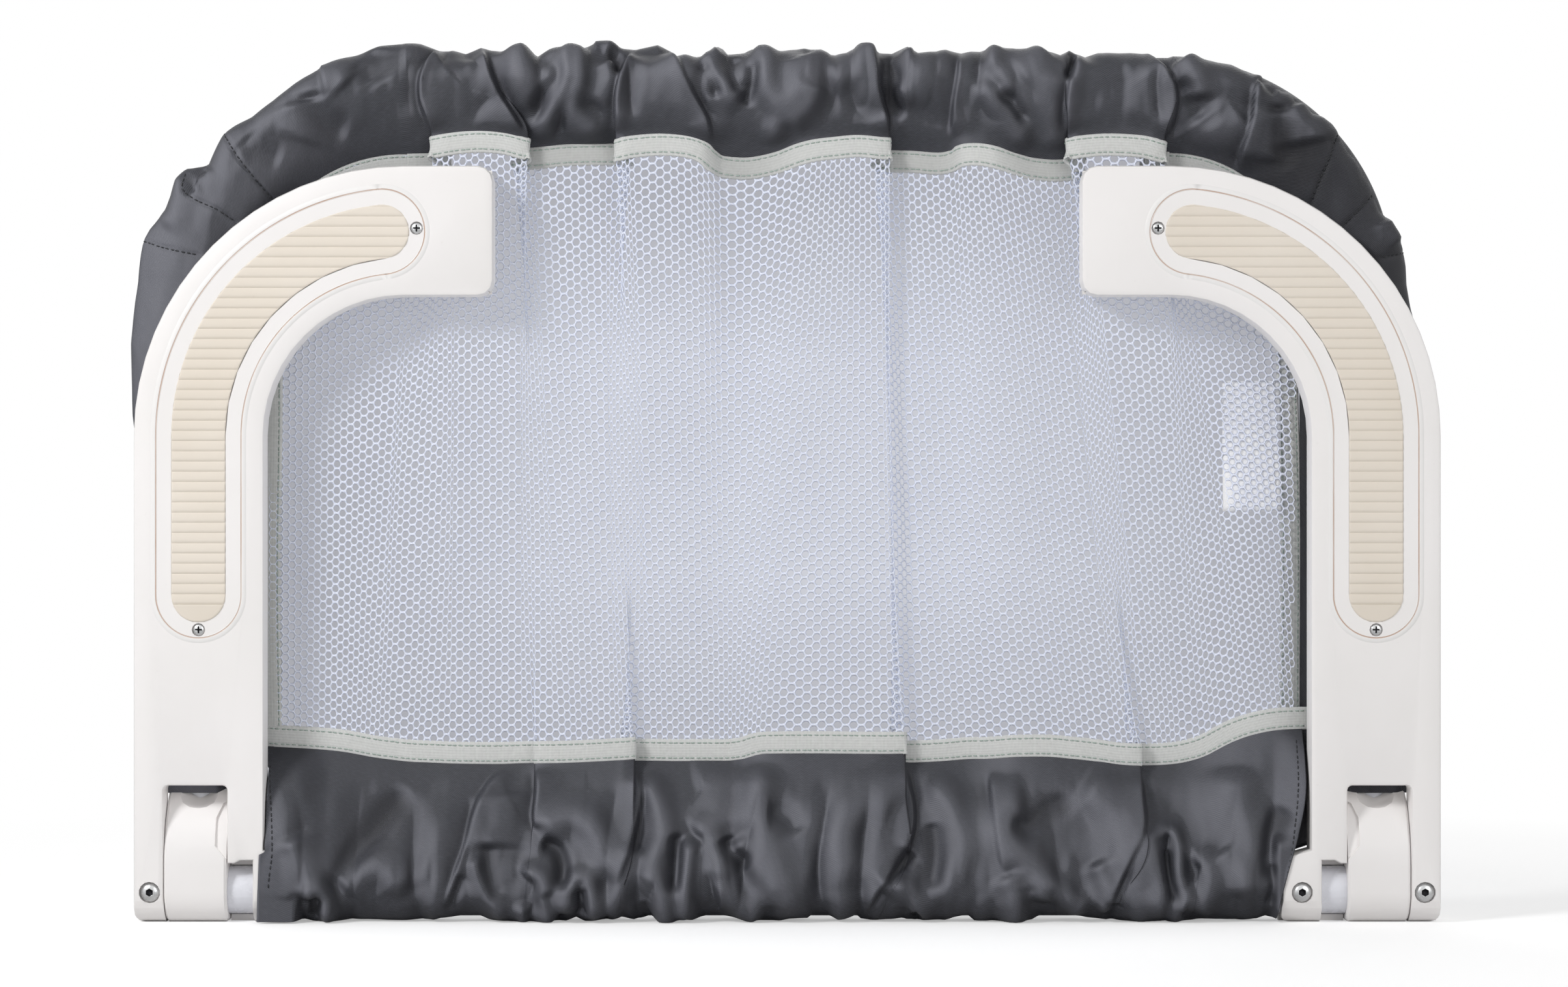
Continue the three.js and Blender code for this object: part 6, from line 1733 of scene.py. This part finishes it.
def on_cloth(grid, path, lift=0.0):
    """A path of the front view laid on the front of a cloth grid, with the cloth's facing along it."""
    front = grid[:, : grid.shape[1] // 2]
    facing = norm(np.cross(np.gradient(front, axis=0), np.gradient(front, axis=1)))
    facing = facing * -np.sign(facing[..., 1:2] + 1e-9)
    points, facing = front.reshape(-1, 3), facing.reshape(-1, 3)
    line = smooth_path(path, 1.0)
    out_at, out_face = [], []
    for x, z in line:
        gap = (points[:, 0] - x) ** 2 + (points[:, 2] - z) ** 2
        near = np.argsort(gap)[:6]
        share = 1 / (gap[near] + 0.05)
        share /= share.sum()
        face = norm((facing[near] * share[:, None]).sum(0))
        out_at.append(np.array([x, (points[near, 1] * share).sum(), z]) + face * lift)
        out_face.append(face)
    return np.array(out_at), np.array(out_face)


def dark_seams():
    """Dark stitching down the gusset seams and the bottom sleeve's end hems."""
    for name in ("left", "right"):
        lines = [on_cloth(SLEEVE_POINTS, path, 0.15) for path in GUSSETS[name]]
        seam = stitches(f"thread_gusset_{name}", lines, DARK_THREAD, 3.1, 2.2, 0.6)
        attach(seam, name + "_frame")
        line = on_cloth(BOTTOM_POINTS, END_HEMS[name], 0.1)
        hem = stitches(f"thread_end_{name}", [line], DARK_THREAD, 3.1, 2.2, 0.6)
        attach(hem, name + "_frame")


dark_seams()


# Care label

LABEL_X, LABEL_Z = (227.0, 257.5), (212.0, 280.0)  # its edges
LABEL_GAP, LABEL_THICK = 0.75, 0.35  # how far it hangs behind the net, and its thickness


def care_label():
    """The blank label, hung just behind the net."""
    cols, rows = 16, 24
    gx, gz = np.meshgrid(np.linspace(*LABEL_X, cols), np.linspace(*LABEL_Z, rows), indexing="ij")
    strip = np.arange(cloth_at(222.0), CLOTH[-1], 1.0)
    across, down = np.meshgrid(strip, np.linspace(0.3, 0.66, 90), indexing="ij")
    net = net_surface(across.ravel(), down.ravel())
    gap = (net[None, :, 0] - gx.ravel()[:, None]) ** 2 + (net[None, :, 2] - gz.ravel()[:, None]) ** 2
    y = net[gap.argmin(1), 1].reshape(gx.shape) + LABEL_GAP + 0.2 * np.sin(gz / 13.0)
    front = np.stack([gx, y, gz], axis=2)
    back = front.copy()
    back[..., 1] += LABEL_THICK
    verts = np.concatenate([front.reshape(-1, 3), back.reshape(-1, 3)])
    n = gx.size
    faces = grid_faces(cols, rows).tolist()
    faces += [[v + n for v in face[::-1]] for face in faces]
    edge = [i * rows for i in range(cols)] + [(cols - 1) * rows + j for j in range(1, rows)]
    edge += [i * rows + rows - 1 for i in range(cols - 2, -1, -1)] + list(range(rows - 2, 0, -1))
    for a, b in zip(edge, edge[1:] + edge[:1]):
        faces.append((a, b, b + n, a + n))
    uv = np.concatenate([np.stack([gx, gz], 2).reshape(-1, 2)] * 2)
    obj = make("label_patch", verts, faces, LABEL, "right_frame", uv, closed=True)
    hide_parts("care_label")
    return obj


LABEL_OBJ = care_label()


# The CAD's own pieces, smooth where they curve


def smooth_shading(node):
    mesh = node.data
    mesh.polygons.foreach_set("use_smooth", [True] * len(mesh.polygons))
    if "custom_normal" in mesh.attributes:
        mesh.attributes.remove(mesh.attributes["custom_normal"])
    weld = node.modifiers.new("weld", "WELD")
    weld.merge_threshold = 0.000002
    split = node.modifiers.new("edges", "EDGE_SPLIT")
    split.split_angle = math.radians(32)


for node in NODES.values():
    smooth_shading(node)


# The card of painted shadow seen through the net


def painted_shadow_glow():
    """Painted shadow: a grey glow to the camera from in front, lighter in the middle; clear for everything
    else.
    """
    n = Nodes("painted_shadow_glow")
    seen = n.add("ShaderNodeLightPath").outputs["Is Camera Ray"]
    away = n.add("ShaderNodeNewGeometry").outputs["Backfacing"]
    at = place_of(n)
    parts = n.add("ShaderNodeSeparateXYZ", Vector=at)
    middle = n.ramp(n.math("ABSOLUTE", parts.outputs[0]), [(0.09, 1.0), (0.25, 0.0)])
    tall = n.ramp(parts.outputs[2], [(0.09, 0.2), (0.18, 1.0), (0.29, 1.0), (0.38, 0.1)])
    light = n.math("MULTIPLY", middle, tall)
    cloud = n.ramp(n.noise(at, 9.0, 2.0), [(0.3, 0.0), (0.7, 0.25)])
    grey = n.mix(cloud, n.mix(light, srgb(168, 169, 176), srgb(208, 210, 218)), srgb(184, 185, 192))
    clear = n.add("ShaderNodeBsdfTransparent")
    pick = n.math("MULTIPLY", seen, n.math("SUBTRACT", 1.0, away))
    return n.finish(n.blend(pick, clear.outputs[0], n.glow(grey, 1.0)))


def painted_shadow_card():
    """A card of painted shadow behind the net, cut to the shape of the opening between the sleeves."""
    depth, straight = 17.5, 281.0
    verts, levels, cols = [], 24, 41
    for z in np.linspace(70, 412, levels):
        for x in np.linspace(-1, 1, cols):
            reach = straight
            if z > BEND_Z:
                reach = BEND_X + 81 * math.sqrt(max(0.0, 1 - ((z - BEND_Z) / 84.0) ** 2))
            verts.append((x * reach, depth, z))
    faces = grid_faces(levels, cols)[:, ::-1].copy()
    obj = make("card", verts, faces, painted_shadow_glow())
    obj.visible_shadow = obj.visible_diffuse = obj.visible_glossy = obj.visible_transmission = False
    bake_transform(obj)


painted_shadow_card()


# The tapes and their stitches, gathered in a list

tapes = []
for kind in ("tape_", "thread_"):
    tapes += [bpy.data.objects[kind + name] for name in ("top", "bottom", "left", "right")]
